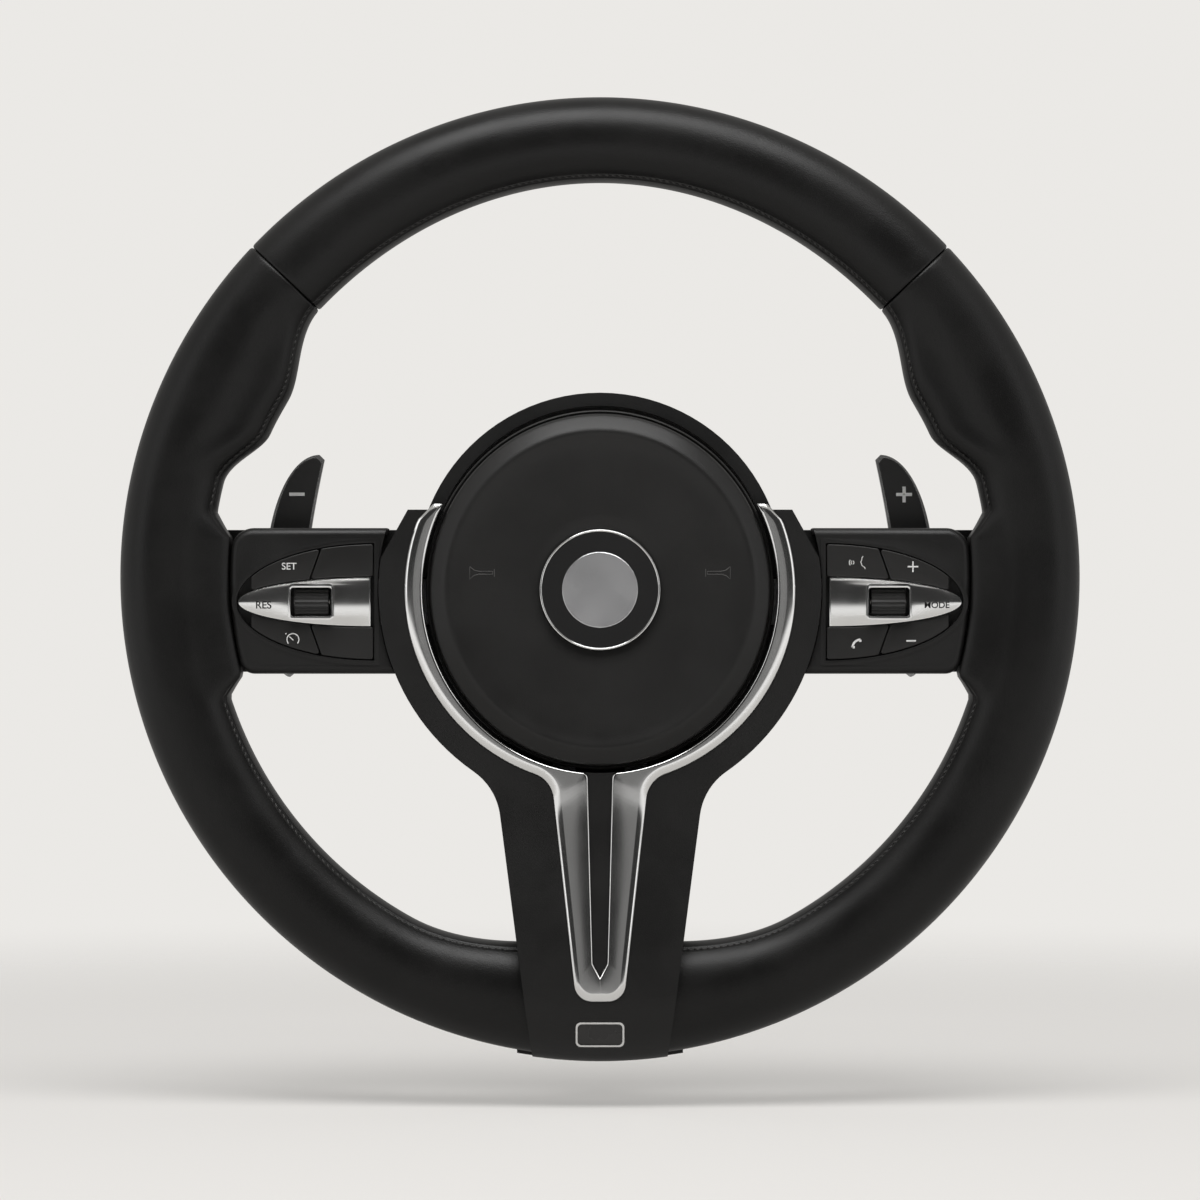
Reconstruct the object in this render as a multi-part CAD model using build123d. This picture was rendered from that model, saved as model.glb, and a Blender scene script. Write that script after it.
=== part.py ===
from build123d import *
from math import ceil, cos, degrees, pi, radians, sin
import os

# Sizes are in millimetres. The origin is on the steering axis at the rear face of the hub.
# +Z is up, +Y runs to the column and the driver sits on the -Y side.
# Every "ahead" value is a distance from the rear face of the hub towards the driver.

# Rim
rim_radius = 185.0
rim_ahead = 50.0
rim_depth = 31.0
top_width = 33.0
seam_angle = 46.5
seam_width = 35.6
grip_angle = 60.5
grip_width = 46.9
grip_end_angle = 66.5
grip_end_width = 46.5
neck_angle = 76.0
neck_width = 35.4
low_angle = 151.0
low_width = 35.0
bottom_width = 45.0
section_fullness = 2.15
stub_width = 42.2
stub_top = 15.0
stub_bottom = -36.6
stub_half_depth = 8.5
stub_overlap = 22.0
leather = 1.3
seam_gap = 0.7
glue = 0.4

# Armature and hub
hub_length = 26.0
hub_radius = 20.0
neck_radius = 15.0
bore_radius = 8.75
bore_length = 22.0
bolt_hole_radius = 8.2
hub_chamfer = 1.0
plate_radius = 53.0
plate_thickness = 6.0
ring_rod = 6.0
arm_root = 38.0
arm_thickness = 6.0
arm_half_width = 9.0
arm_clear = 0.4
arm_slot = 0.8
prong_spread = 14.0
prong_half_width = 4.5

# Airbag pad
pad_centre = -5.0
pad_half_width = 66.9
pad_half_height = 69.1
pad_front = 66.0
pad_back = 48.0
pad_step = 2.3
pad_round = 6.5
lip_front = 57.5
lip_round = 0.8
dish_radius = 57.5
dish_depth = 2.0
pad_wall = 3.0
pad_roof = 6.0
pad_gap = 1.2

# Badge
badge_radius = 22.8
badge_recess = 1.7
badge_proud = 0.8
disc_radius = 14.5
disc_recess = 1.0
disc_proud = 0.3
badge_round = 0.6

# Airbag module
can_radius = 55.0
can_sheet = 1.5
can_back = 42.0
can_front = 57.0
inflator_radius = 30.0
inflator_back = 40.0
inflator_front = 54.0
flange_radius = 36.0
cushion_front = 59.0
cushion_gap = 0.8
tab_gap = 0.4
inflator_round = 3.0
pin_count = 3
pin_circle = 40.0
pin_radius = 2.5
pin_head_radius = 5.0
pin_head_thickness = 2.4
pin_collar_thickness = 1.0
pin_stop = 0.3
spring_radius = 4.2
spring_wire = 1.1
spring_turns = 3
spring_sides = 6

# Front spoke cover and trim
cover_band = 9.9
cover_flat = 3.0
cover_front = 60.0
cover_back = 46.0
cover_wall = 2.4
cover_roof = 4.6
tip_height = 25.8
tip_half_width = 73.8
tip_drop = 18.0
tip_flare = 10.0
leg_rise = 9.2
leg_overrun = 8.0
leg_half_width = 27.2
leg_taper = 0.1328
leg_round = 24.0
saddle_gap = 0.8
saddle_wall = 2.1
wrap = 1.8
trim_ring_width = 4.8
trim_proud = 1.2
trim_depth = 2.6
trim_play = 0.15
trim_tip_height = 27.9
trim_tip_inner = 64.2
trim_tip_drop = 11.1
trim_end_rise = 22.5
trim_leg_half_width = 9.3
trim_leg_taper = 0.1117
trim_leg_round = 11.0
trim_end_round = 7.0
slot_top_half_width = 4.6
slot_mouth_round = 2.5
slot_bottom_half_width = 2.7
slot_point = 5.5
slot_end_wall = 9.2
fit = 0.3

# Lower badge
plaque_rise = 9.7
plaque_half_width = 9.3
plaque_half_height = 4.9
plaque_line = 0.7
plaque_round = 2.0
plaque_depth = 0.9
plaque_proud = 0.5
inlay_proud = 0.1

# Rear cover
collar_inner = 66.2
collar_wall = 5.1
collar_front = 45.6
skirt_lap = 1.0
dish_wall = 2.6
dish_shoulder = 30.0
dish_floor_radius = 56.0
dish_floor = 9.0
dish_round = 8.0
column_opening = 42.0
rear_skin = 2.5
rear_back = 27.0
rear_arm_overlap = 4.2
foot_half_width = 32.1
foot_root = 50.0
foot_inset = 0.4
foot_flare = 6.5
rear_round = 1.0
boss_radius = 4.5
screw_radius = 1.75
screw_head_radius = 3.6
screw_head = 2.0
screw_bite = 4.0
side_screw_at = 100.0
low_screw_at = 110.0

# Side spokes
spoke_top = 18.8
spoke_bottom = -37.3
housing_front = 58.0
housing_wall = 2.2
housing_roof = 2.6
housing_round = 3.2
housing_top_corner = 9.0
housing_low_corner = 6.0
housing_gap = 0.4

# Keypad
keypad_centre = -9.6
keypad_inner_gap = 1.7
keypad_end_gap = 3.2
keypad_half_height = 22.6
bezel_width = 1.8
bezel_proud = 0.6
key_proud = 0.6
key_thickness = 4.4
key_edge = 0.5
key_corner = 0.9
key_gap = 0.45
key_nose_share = 0.894
divider_blade_share = 0.463
divider_edge_share = 0.367
stem_half = 2.0
stem_inset = 1.3
stem_guide = 0.35
outer_stem_share = 0.658
outer_stem_rise = 13.4
inner_stem_share = 0.195
inner_stem_rise = 16.5

# Silver blade, roller and tray
blade_inner_gap = 1.5
blade_tip_gap = 0.7
blade_half_height = 9.3
blade_back = 57.2
blade_front = 60.0
blade_crown = 1.2
blade_edge = 0.4
frame_half_width = 8.8
frame_half_height = 7.0
frame_round = 2.0
frame_proud = 0.8
window_half_width = 7.85
window_half_height = 5.5
roller_share = 0.457
roller_radius = 6.0
roller_half_length = 6.5
roller_ahead = 53.6
roller_teeth = 22
roller_tooth = 0.45
axle_radius = 1.0
running_gap = 0.25
ear_gap = 0.45
ear_thickness = 1.4
ear_half_height = 2.2
ear_reach = 2.0
blade_pin_inset = 2.0
blade_pin_ahead = 55.6
blade_pin_radius = 0.8
knuckle_radius = 1.8
knuckle_half_length = 4.6
tray_front = 53.2
tray_thickness = 2.4
board_thickness = 1.6
tray_boss_share = 0.837
tray_boss_rise = 20.3
tray_boss_radius = 2.9
tray_screw_radius = 1.1
tray_screw_head = 2.3
tray_screw_cap = 1.2
tray_screw_bite = 2.0
board_inset = 0.6
wing_clear = 1.0
ear_roof = 0.4

# Paddles
paddle_front = 22.4
paddle_thickness = 3.0
paddle_hinge_at = 84.0
paddle_hinge_ahead = 20.9
paddle_hinge_top = -2.0
paddle_hinge_bottom = -20.0
paddle_top = 47.9
paddle_low = -39.0
paddle_outer = 130.8
paddle_tip_at = 109.8
paddle_tip_lap = 2.0
paddle_waist = 5.8
paddle_heel = 9.5
paddle_heel_inner = 9.0
paddle_lever_lap = 9.5
paddle_pin_radius = 1.5
paddle_knuckle = 3.0
inlay_inset = 1.1
inlay_thickness = 0.5
bracket_base = 2.6
bracket_ear = 3.0
bracket_gap = 0.4
bracket_half_width = 4.6
bracket_screw_offset = 4.25

# Fits and cuts
seat = 0.05
close_play = 0.03
hole_play = 0.1
screw_play = 0.2
pin_play = 0.6
overlap = 0.5
over = 1.0
tall_over = 20.0

# Places that follow from the sizes
ring_radius = rim_radius - top_width / 2
stub_radius = rim_radius - stub_width
trim_radius = pad_half_height + pad_gap + trim_ring_width
cover_radius = trim_radius + cover_band
collar_radius = collar_inner + collar_wall
leg_reference = rim_radius - leg_rise
trim_leg_bottom = rim_radius - trim_end_rise
slot_tip = trim_leg_bottom - slot_end_wall
slot_bottom = slot_tip - slot_point
plaque_centre = rim_radius - plaque_rise
rear_arm_end = stub_radius + rear_arm_overlap
keypad_inner = cover_radius + keypad_inner_gap
keypad_nose = stub_radius - keypad_end_gap
keypad_length = keypad_nose - keypad_inner
key_nose_cut = keypad_inner + key_nose_share * keypad_length
divider_at_blade = keypad_inner + divider_blade_share * keypad_length
divider_at_edge = keypad_inner + divider_edge_share * keypad_length
outer_stem_at = keypad_inner + outer_stem_share * keypad_length
inner_stem_at = keypad_inner + inner_stem_share * keypad_length
blade_inner = keypad_inner + blade_inner_gap
blade_tip = keypad_nose - blade_tip_gap
blade_pin_at = blade_inner + blade_pin_inset
roller_at = keypad_inner + roller_share * keypad_length
tray_boss_at = keypad_inner + tray_boss_share * keypad_length

FRONT = Plane.XZ
SIDES = Plane.YZ


def slab(sketch, back, front):
    return extrude(FRONT.offset(back) * sketch, amount=front - back)


def polygon(*points):
    return make_face(Polyline(*points, close=True))


def turned(*points):
    return revolve(polygon(*[(r, -ahead) for r, ahead in points]), Axis.Y, 360)


def post(x, z, radius, back, front):
    return slab(Pos(x, z) * Circle(radius), back, front)


def front_edges(shape):
    return shape.edges().group_by(Axis.Y)[0]


def save(shape, name):
    export_step(shape, "parts/" + name + ".step")


def both_sides(left, name):
    save(left, name + "_left")
    save(mirror(left, SIDES), name + "_right")


os.makedirs("parts", exist_ok=True)

# Rim sections

half_turn = 180.0
stations = (
    (0.0, top_width),
    (seam_angle, seam_width),
    (grip_angle, grip_width),
    (grip_end_angle, grip_end_width),
    (neck_angle, neck_width),
    (low_angle, low_width),
    (half_turn, bottom_width),
)
station_step = 13.0
steep_steps = 3
steep_change = 2.0
section_points = 10


def rim_width(angle):
    turn = abs((angle + half_turn) % (2 * half_turn) - half_turn)
    for (start, width), (end, next_width) in zip(stations, stations[1:]):
        if turn <= end:
            part = (turn - start) / (end - start)
            return width + (next_width - width) * part * part * (3 - 2 * part)
    return bottom_width


def rim_section(angle, inset):
    turn = radians(angle)
    width = rim_width(angle)
    outward = Vector(sin(turn), 0, cos(turn))
    along = Vector(cos(turn), 0, -sin(turn))
    centre = outward * (rim_radius - width / 2) + Vector(0, -rim_ahead, 0)
    across = width / 2 - inset
    deep = rim_depth / 2 - inset
    power = 2.0 / section_fullness
    points = []
    for index in range(section_points):
        swing = 2 * pi * index / section_points
        c, s = cos(swing), sin(swing)
        x = across * abs(c) ** power * (1 if c > 0 else -1)
        y = deep * abs(s) ** power * (1 if s > 0 else -1)
        points.append((x, y))
    return Plane(centre, x_dir=outward, z_dir=along) * make_face(Spline(*points, periodic=True))


def rim_angles(start, end):
    marks = [start] + [a for a, _ in stations if start < a < end] + [end]
    angles = [start]
    for a, b in zip(marks, marks[1:]):
        steps = ceil((b - a) / station_step)
        if abs(rim_width(b) - rim_width(a)) > steep_change:
            steps = max(steps, steep_steps)
        angles += [a + (b - a) * k / steps for k in range(1, steps + 1)]
    return angles


def rim_loft(start, end, inset, spare=0.0):
    angles = rim_angles(start, end)
    if spare:
        angles = [start - spare] + angles + [end + spare]
    return loft([rim_section(angle, inset) for angle in angles])


def right_stub(inset):
    band = Rectangle(rim_radius, stub_top - stub_bottom - 2 * inset)
    band = Pos(rim_radius / 2, (stub_top + stub_bottom) / 2) * band
    face = band & (Circle(rim_radius - stub_overlap) - Circle(stub_radius + inset))
    half = stub_half_depth - inset
    return slab(face, rim_ahead - half, rim_ahead + half)


# Armature

plate_back = hub_length
plate_front = plate_back + plate_thickness
plate_middle = (plate_back + plate_front) / 2
spoke_middle = keypad_centre
arm_slope = (rim_ahead - plate_middle) / (ring_radius - arm_root)


def arm_ahead(radius):
    return plate_middle + arm_slope * (radius - arm_root)


def bar(shift, half_width, spare):
    half = arm_thickness / 2 + spare
    start = arm_root - spare
    side = polygon(
        (start, -(arm_ahead(start) - half)),
        (ring_radius, -(rim_ahead - half)),
        (ring_radius, -(rim_ahead + half)),
        (start, -(arm_ahead(start) + half)),
    )
    return extrude(Plane.XY.offset(shift) * side, amount=half_width + spare, both=True)


def side_bar(spare):
    return bar(spoke_middle, arm_half_width, spare)


def prong(spare):
    return Rot(0, 90, 0) * bar(prong_spread, prong_half_width, spare)


def ring_rods(spare):
    return Pos(0, -rim_ahead, 0) * Rot(90, 0, 0) * Torus(ring_radius, ring_rod + spare)


def pin_spots():
    spots = []
    for index in range(pin_count):
        turn = pi / 2 + 2 * pi * index / pin_count
        spots.append((pin_circle * cos(turn), pad_centre + pin_circle * sin(turn)))
    return spots


pin_hole = pin_radius + pin_play
armature = slab(Circle(plate_radius), plate_back, plate_front) + ring_rods(0)
for arm in (side_bar(0), prong(0)):
    armature = armature + arm + mirror(arm, SIDES)
armature -= post(0, 0, neck_radius + seat, plate_back - over, plate_front + over)
for x, z in pin_spots():
    armature -= post(x, z, pin_hole, plate_back - over, plate_front + over)

hub_insert = post(0, 0, hub_radius, 0, hub_length) + post(0, 0, neck_radius, hub_length, plate_front)
hub_insert -= post(0, 0, bore_radius, -over, bore_length)
hub_insert -= post(0, 0, bolt_hole_radius, bore_length - over, plate_front + over)
rear_rings = hub_insert.edges().filter_by(GeomType.CIRCLE).group_by(Axis.Y)[-1]
hub_insert = chamfer(rear_rings.sort_by(SortBy.RADIUS)[-1], hub_chamfer)
save(hub_insert, "hub_insert")

# Foam and leather

foam_inset = leather + glue
foam_top = rim_loft(-seam_angle, seam_angle, foam_inset) - ring_rods(glue)
foam_right = rim_loft(seam_angle, half_turn, foam_inset) + right_stub(foam_inset)
foam_right = foam_right - ring_rods(glue) - side_bar(glue) - prong(glue)
foam_left = mirror(foam_right, SIDES)
save(Compound([foam_top.solid(), foam_right.solid(), foam_left.solid()]), "rim_foam")

seam_swing = degrees(seam_gap / 2 / rim_radius)
slack = 1.0
leather_top = rim_loft(-seam_angle + seam_swing, seam_angle - seam_swing, 0)
leather_top -= rim_loft(-seam_angle, seam_angle, leather, slack)
save(leather_top, "leather_top")
leather_right = rim_loft(seam_angle + seam_swing, half_turn - seam_swing, 0) + right_stub(0)
leather_right -= rim_loft(seam_angle, half_turn, leather, slack) + right_stub(leather)
leather_right = leather_right - side_bar(arm_clear) - prong(arm_clear)
save(leather_right, "leather_right")
save(mirror(leather_right, SIDES), "leather_left")

# Front surfaces of the spoke cover

saddle_radius = rim_radius - bottom_width / 2
saddle_front = rim_ahead + rim_depth / 2 + saddle_gap + saddle_wall
wrap_radius = rim_radius + wrap
diagonal = cos(pi / 4)
cover_edge = cover_radius + cover_flat


def cover_turned(grow, back):
    low = cover_front + grow
    high = saddle_front + grow
    out = wrap_radius + grow
    rise = Spline((cover_edge, -low), (saddle_radius, -high), tangents=((1, 0), (1, 0)))
    fall = Spline(
        (saddle_radius, -high),
        (saddle_radius + (out - saddle_radius) * diagonal, -(rim_ahead + (high - rim_ahead) * diagonal)),
        (out, -rim_ahead),
        tangents=((1, 0), (0, 1)),
    )
    lines = [
        Line((0, -back), (0, -low)),
        Line((0, -low), (cover_edge, -low)),
        rise,
        fall,
        Line((out, -rim_ahead), (out, -back)),
        Line((out, -back), (0, -back)),
    ]
    return revolve(make_face(lines), Axis.Y, 360)


def rim_saddle(spare):
    tube = Pos(saddle_radius, -rim_ahead) * Ellipse(bottom_width / 2 + spare, rim_depth / 2 + spare)
    return revolve(tube, Axis.Y, 360)


def pad_oval(grow):
    return Pos(0, pad_centre) * Ellipse(pad_half_width + grow, pad_half_height + grow)


def leg_half(drop, reference, half_width, taper):
    return half_width + taper * (reference - drop)


def leg(top, bottom, reference, half_width, taper):
    a = leg_half(top, reference, half_width, taper)
    b = leg_half(bottom, reference, half_width, taper)
    return polygon((-a, -top), (a, -top), (b, -bottom), (-b, -bottom))


def junctions(sketch):
    return sketch.vertices().sort_by(Axis.Y)[2:4]


def far(sketch, x, y):
    return sketch.vertices().sort_by(lambda v: (v.X - x) ** 2 + (v.Y - y) ** 2)


reach = 3 * rim_radius
cover_disc = Pos(0, pad_centre) * Circle(cover_radius)
leg_end = rim_radius + leg_overrun
cover_face = cover_disc + leg(-pad_centre, leg_end, leg_reference, leg_half_width, leg_taper)
cover_face = fillet(junctions(cover_face), leg_round)
tip_cut = polygon(
    (-reach, tip_height - tip_drop),
    (-tip_half_width - tip_flare, tip_height - tip_drop),
    (-tip_half_width, tip_height),
    (tip_half_width, tip_height),
    (tip_half_width + tip_flare, tip_height - tip_drop),
    (reach, tip_height - tip_drop),
    (reach, reach),
    (-reach, reach),
)
cover_face = cover_face - tip_cut

trim_face = Pos(0, pad_centre) * Circle(trim_radius)
trim_face += leg(-pad_centre, trim_leg_bottom, trim_leg_bottom, trim_leg_half_width, trim_leg_taper)
trim_face = fillet(junctions(trim_face), trim_leg_round)
trim_face = fillet(trim_face.vertices().group_by(Axis.Y)[0], trim_end_round)
trim_tip_slope = trim_tip_drop / (trim_radius - trim_tip_inner)
trim_cut_side = trim_radius + over
trim_cut_far = trim_tip_height - trim_tip_slope * (trim_cut_side - trim_tip_inner)
trim_cut = polygon(
    (-trim_cut_side, trim_cut_far),
    (-trim_tip_inner, trim_tip_height),
    (trim_tip_inner, trim_tip_height),
    (trim_cut_side, trim_cut_far),
    (trim_cut_side, reach),
    (-trim_cut_side, reach),
)
trim_slot = polygon(
    (-slot_top_half_width, -pad_half_height),
    (slot_top_half_width, -pad_half_height),
    (slot_top_half_width, -trim_radius),
    (slot_bottom_half_width, -slot_bottom),
    (0, -slot_tip),
    (-slot_bottom_half_width, -slot_bottom),
    (-slot_top_half_width, -trim_radius),
)
trim_face = trim_face - trim_cut - pad_oval(pad_gap) - trim_slot
for side in (1, -1):
    mouth = far(trim_face, side * slot_top_half_width, pad_centre - pad_half_height - pad_gap)[0]
    trim_face = fillet(mouth, slot_mouth_round)


tall_front = saddle_front + tall_over


def between(face, back_grow, front_grow):
    tall = slab(face, 0, tall_front)
    return (tall & cover_turned(front_grow, over)) - cover_turned(back_grow, 0)


spoke_cover = slab(cover_face, cover_back, tall_front) & cover_turned(0, cover_back - over)
hollow = slab(offset(cover_face, -cover_wall), cover_back - over, saddle_front)
spoke_cover -= hollow & cover_turned(-cover_roof, cover_back - 2 * over)
spoke_cover -= slab(pad_oval(pad_gap), cover_back - over, tall_front)
spoke_cover -= rim_saddle(saddle_gap)
spoke_cover -= between(offset(trim_face, trim_play), -trim_depth, tall_over / 2)
plaque_face = Pos(0, -plaque_centre) * RectangleRounded(
    2 * plaque_half_width, 2 * plaque_half_height, plaque_round
)
spoke_cover -= between(offset(plaque_face, hole_play), -plaque_depth, tall_over / 2)
save(spoke_cover, "spoke_cover")

chrome_trim = between(trim_face, -trim_depth + seat, trim_proud)
save(chrome_trim, "chrome_trim")

inlay_face = Pos(0, -plaque_centre) * RectangleRounded(
    2 * (plaque_half_width - plaque_line),
    2 * (plaque_half_height - plaque_line),
    plaque_round - plaque_line / 2,
)
plaque_floor = -plaque_depth + seat
save(between(plaque_face - inlay_face, plaque_floor, plaque_proud), "lower_badge_frame")
save(between(offset(inlay_face, -hole_play), plaque_floor, inlay_proud), "lower_badge_inlay")

# Rear cover

foot_waist = leg_half_width - foot_inset
foot_face = leg(foot_root, leg_end, leg_reference, foot_waist, leg_taper)
foot_face += polygon(
    (-foot_waist, -leg_reference),
    (foot_waist, -leg_reference),
    (foot_half_width, -leg_reference - foot_flare),
    (foot_half_width, -leg_end),
    (-foot_half_width, -leg_end),
    (-foot_half_width, -leg_reference - foot_flare),
)
foot_face &= Circle(wrap_radius)
arm_face = Rectangle(2 * rear_arm_end, spoke_top - spoke_bottom - 2 * housing_gap)
arm_face = Pos(0, (spoke_top + spoke_bottom) / 2) * arm_face & Circle(rear_arm_end)
dish_outer = turned(
    (0, collar_front),
    (collar_radius, collar_front),
    (collar_radius, dish_shoulder),
    (dish_floor_radius, dish_floor),
    (0, dish_floor),
)
dish_outer = fillet(dish_outer.edges().filter_by(GeomType.CIRCLE).sort_by(Axis.Y)[1:], dish_round)
dish_inner = turned(
    (0, collar_front + over),
    (collar_inner, collar_front + over),
    (collar_inner, dish_shoulder + over),
    (dish_floor_radius - 2 * dish_wall, dish_floor + dish_wall),
    (0, dish_floor + dish_wall),
)
rear_front = rear_back + rear_skin
foot_block = slab(foot_face, rear_back, collar_front)
foot_block = fillet(foot_block.edges().group_by(Axis.Y)[-1], rear_round)
foot_hollow = slab(offset(foot_face, -cover_wall), rear_front, collar_front + over)
below_arms = Pos(0, spoke_bottom + over - reach / 2) * Rectangle(2 * reach, reach)
skirt_face = (pad_oval(pad_gap + skirt_lap) & below_arms) - Circle(collar_inner)
skirt = slab(skirt_face, collar_front - rear_skin, collar_front)
rear_cover = dish_outer + skirt + slab(arm_face, rear_back, rear_front) + foot_block
rear_cover = rear_cover - foot_hollow - dish_inner
rear_cover -= post(0, 0, column_opening, dish_floor - over, dish_floor + dish_wall + over)
rear_cover -= rim_saddle(saddle_gap)
side_notch = Rectangle(2 * rear_arm_end, 2 * (arm_half_width + arm_slot))
side_notch = Pos(0, spoke_middle) * side_notch & Circle(collar_radius + over)
notch_floor = arm_ahead(collar_inner) - arm_thickness / 2 - arm_slot
rear_cover -= slab(side_notch, notch_floor, collar_front + over)
prong_gap = Rectangle(2 * (prong_half_width + arm_slot), collar_radius)
for side in (1, -1):
    prong_notch = Pos(side * prong_spread, -collar_radius) * prong_gap
    rear_cover -= slab(prong_notch, notch_floor, collar_front + over)

side_spots = [(side_screw_at, spoke_middle), (-side_screw_at, spoke_middle)]
low_spots = [(prong_spread, -low_screw_at), (-prong_spread, -low_screw_at)]
cover_screws = []
for spots, at in ((side_spots, side_screw_at), (low_spots, low_screw_at)):
    boss_front = arm_ahead(at - boss_radius) - arm_thickness / 2 - hole_play
    bite = arm_ahead(at) - arm_thickness / 2 + screw_bite
    for x, z in spots:
        rear_cover += post(x, z, boss_radius, rear_back, boss_front)
        rear_cover -= post(x, z, screw_radius + hole_play, rear_back - over, boss_front + over)
        armature -= post(x, z, screw_radius + hole_play, boss_front - over, bite + fit)
        screw = post(x, z, screw_head_radius, rear_back - screw_head, rear_back)
        screw += post(x, z, screw_radius, rear_back - screw_head / 2, bite)
        cover_screws.append(screw)
save(armature, "armature")
save(Compound(cover_screws), "cover_screws")

# Side spokes, left one first


def left_half_oval(inner, nose, half_height, grow):
    oval = Pos(-inner, keypad_centre) * Ellipse(nose - inner + grow, half_height + grow)
    return oval & (Pos(-inner - reach / 2 + grow, 0) * Rectangle(reach, reach))


spoke_band = Pos(-reach / 2, (spoke_top + spoke_bottom) / 2) * Rectangle(reach, spoke_top - spoke_bottom)
housing_face = spoke_band & Circle(stub_radius - housing_gap)
housing_face = fillet(far(housing_face, -reach, reach)[0], housing_top_corner)
housing_face = fillet(far(housing_face, -reach, -reach)[0], housing_low_corner)
wing_gap = Pos(0, pad_centre) * Circle(cover_radius + housing_gap)
housing_back = rear_front + housing_gap
housing = slab(housing_face, housing_back, housing_front)
long_edges = [e for e in front_edges(housing) if abs(e.center().Z - spoke_middle) > arm_half_width]
housing = fillet(long_edges, housing_round)
inner_face = offset(housing_face, -housing_wall)
housing -= slab(inner_face, housing_back - over, housing_front - housing_roof)
bezel_face = left_half_oval(keypad_inner, keypad_nose, keypad_half_height, bezel_width)
housing += slab(bezel_face, housing_front - overlap, housing_front + bezel_proud)
housing -= slab(wing_gap, housing_back - over, housing_front + over)
keypad_face = left_half_oval(keypad_inner, keypad_nose, keypad_half_height, 0)
housing -= slab(keypad_face, housing_back, housing_front + over)
end_notch = Pos(-stub_radius, spoke_middle) * Rectangle(4 * housing_wall, 2 * (arm_half_width + arm_slot))
arm_top = arm_ahead(stub_radius) + arm_thickness / 2 + arm_slot
housing -= slab(end_notch, housing_back - over, arm_top)
boss_spots = [(-tray_boss_at, keypad_centre + side * tray_boss_rise) for side in (1, -1)]
thread_end = tray_front + tray_screw_bite + screw_play
for x, z in boss_spots:
    housing += post(x, z, tray_boss_radius, tray_front, housing_front - housing_roof + overlap)
    housing -= post(x, z, tray_screw_radius + seat, tray_front - over, thread_end)
both_sides(housing, "switch_housing")

# Tray, board, axle and pins

tray_back = tray_front - tray_thickness
board_back = tray_back - board_thickness
tray_face = offset(housing_face, -housing_wall - fit)
tray_face -= Pos(0, pad_centre) * Circle(cover_radius + wing_clear)
stem_spots = []
for side in (1, -1):
    stem_spots.append((-outer_stem_at, keypad_centre + side * outer_stem_rise))
    stem_spots.append((-inner_stem_at, keypad_centre + side * inner_stem_rise))
stem_side = 2 * (stem_half + stem_guide)
stem_holes = [Pos(x, z) * Rectangle(stem_side, stem_side) for x, z in stem_spots]
roller_slot = Pos(-roller_at, keypad_centre) * Rectangle(
    2 * (roller_half_length + ear_gap), 2 * (roller_radius + 3 * running_gap)
)
tray = slab(tray_face, tray_back, tray_front)
ear_middle = roller_half_length + ear_gap + ear_thickness / 2
for side in (1, -1):
    ear = Pos(-roller_at + side * ear_middle, keypad_centre) * Rectangle(ear_thickness, 2 * ear_half_height)
    tray += slab(ear, tray_back, roller_ahead + ear_reach)
    knuckle_end = knuckle_half_length + running_gap + ear_thickness / 2
    ear = Pos(-blade_pin_at, keypad_centre + side * knuckle_end)
    ear = ear * Rectangle(2 * knuckle_radius, ear_thickness)
    tray += slab(ear, tray_back, blade_pin_ahead + blade_pin_radius + ear_roof)
tray -= slab(roller_slot, tray_back - over, tray_front)
for hole in stem_holes:
    tray -= slab(hole, tray_back - over, tray_front + over)
axle_half = roller_half_length + ear_gap + ear_thickness
axle_spot = Pos(-roller_at, -roller_ahead, keypad_centre) * Rot(0, 90, 0)
pin_spot = Pos(-blade_pin_at, -blade_pin_ahead, keypad_centre)
pin_half = knuckle_half_length + running_gap + ear_thickness
tray -= axle_spot * Cylinder(axle_radius + close_play, 2 * axle_half + over)
tray -= pin_spot * Cylinder(blade_pin_radius + close_play, 2 * pin_half + over)
board = slab(offset(tray_face, -board_inset), board_back, tray_back)
board -= slab(roller_slot, board_back - over, tray_back + over)
tray_screws = []
for x, z in boss_spots:
    tray -= post(x, z, tray_screw_radius + screw_play, tray_back - over, tray_front + over)
    board -= post(x, z, tray_screw_radius + screw_play, board_back - over, tray_back + over)
    screw = post(x, z, tray_screw_head, board_back - tray_screw_cap, board_back)
    screw += post(x, z, tray_screw_radius, board_back - overlap, tray_front + tray_screw_bite)
    tray_screws += [screw, mirror(screw, SIDES)]
both_sides(tray, "switch_tray")
both_sides(board, "switch_board")
save(Compound(tray_screws), "tray_screws")
both_sides(axle_spot * Cylinder(axle_radius, 2 * axle_half), "roller_axle")
both_sides(pin_spot * Cylinder(blade_pin_radius, 2 * pin_half), "blade_pin")

# Keys

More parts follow.
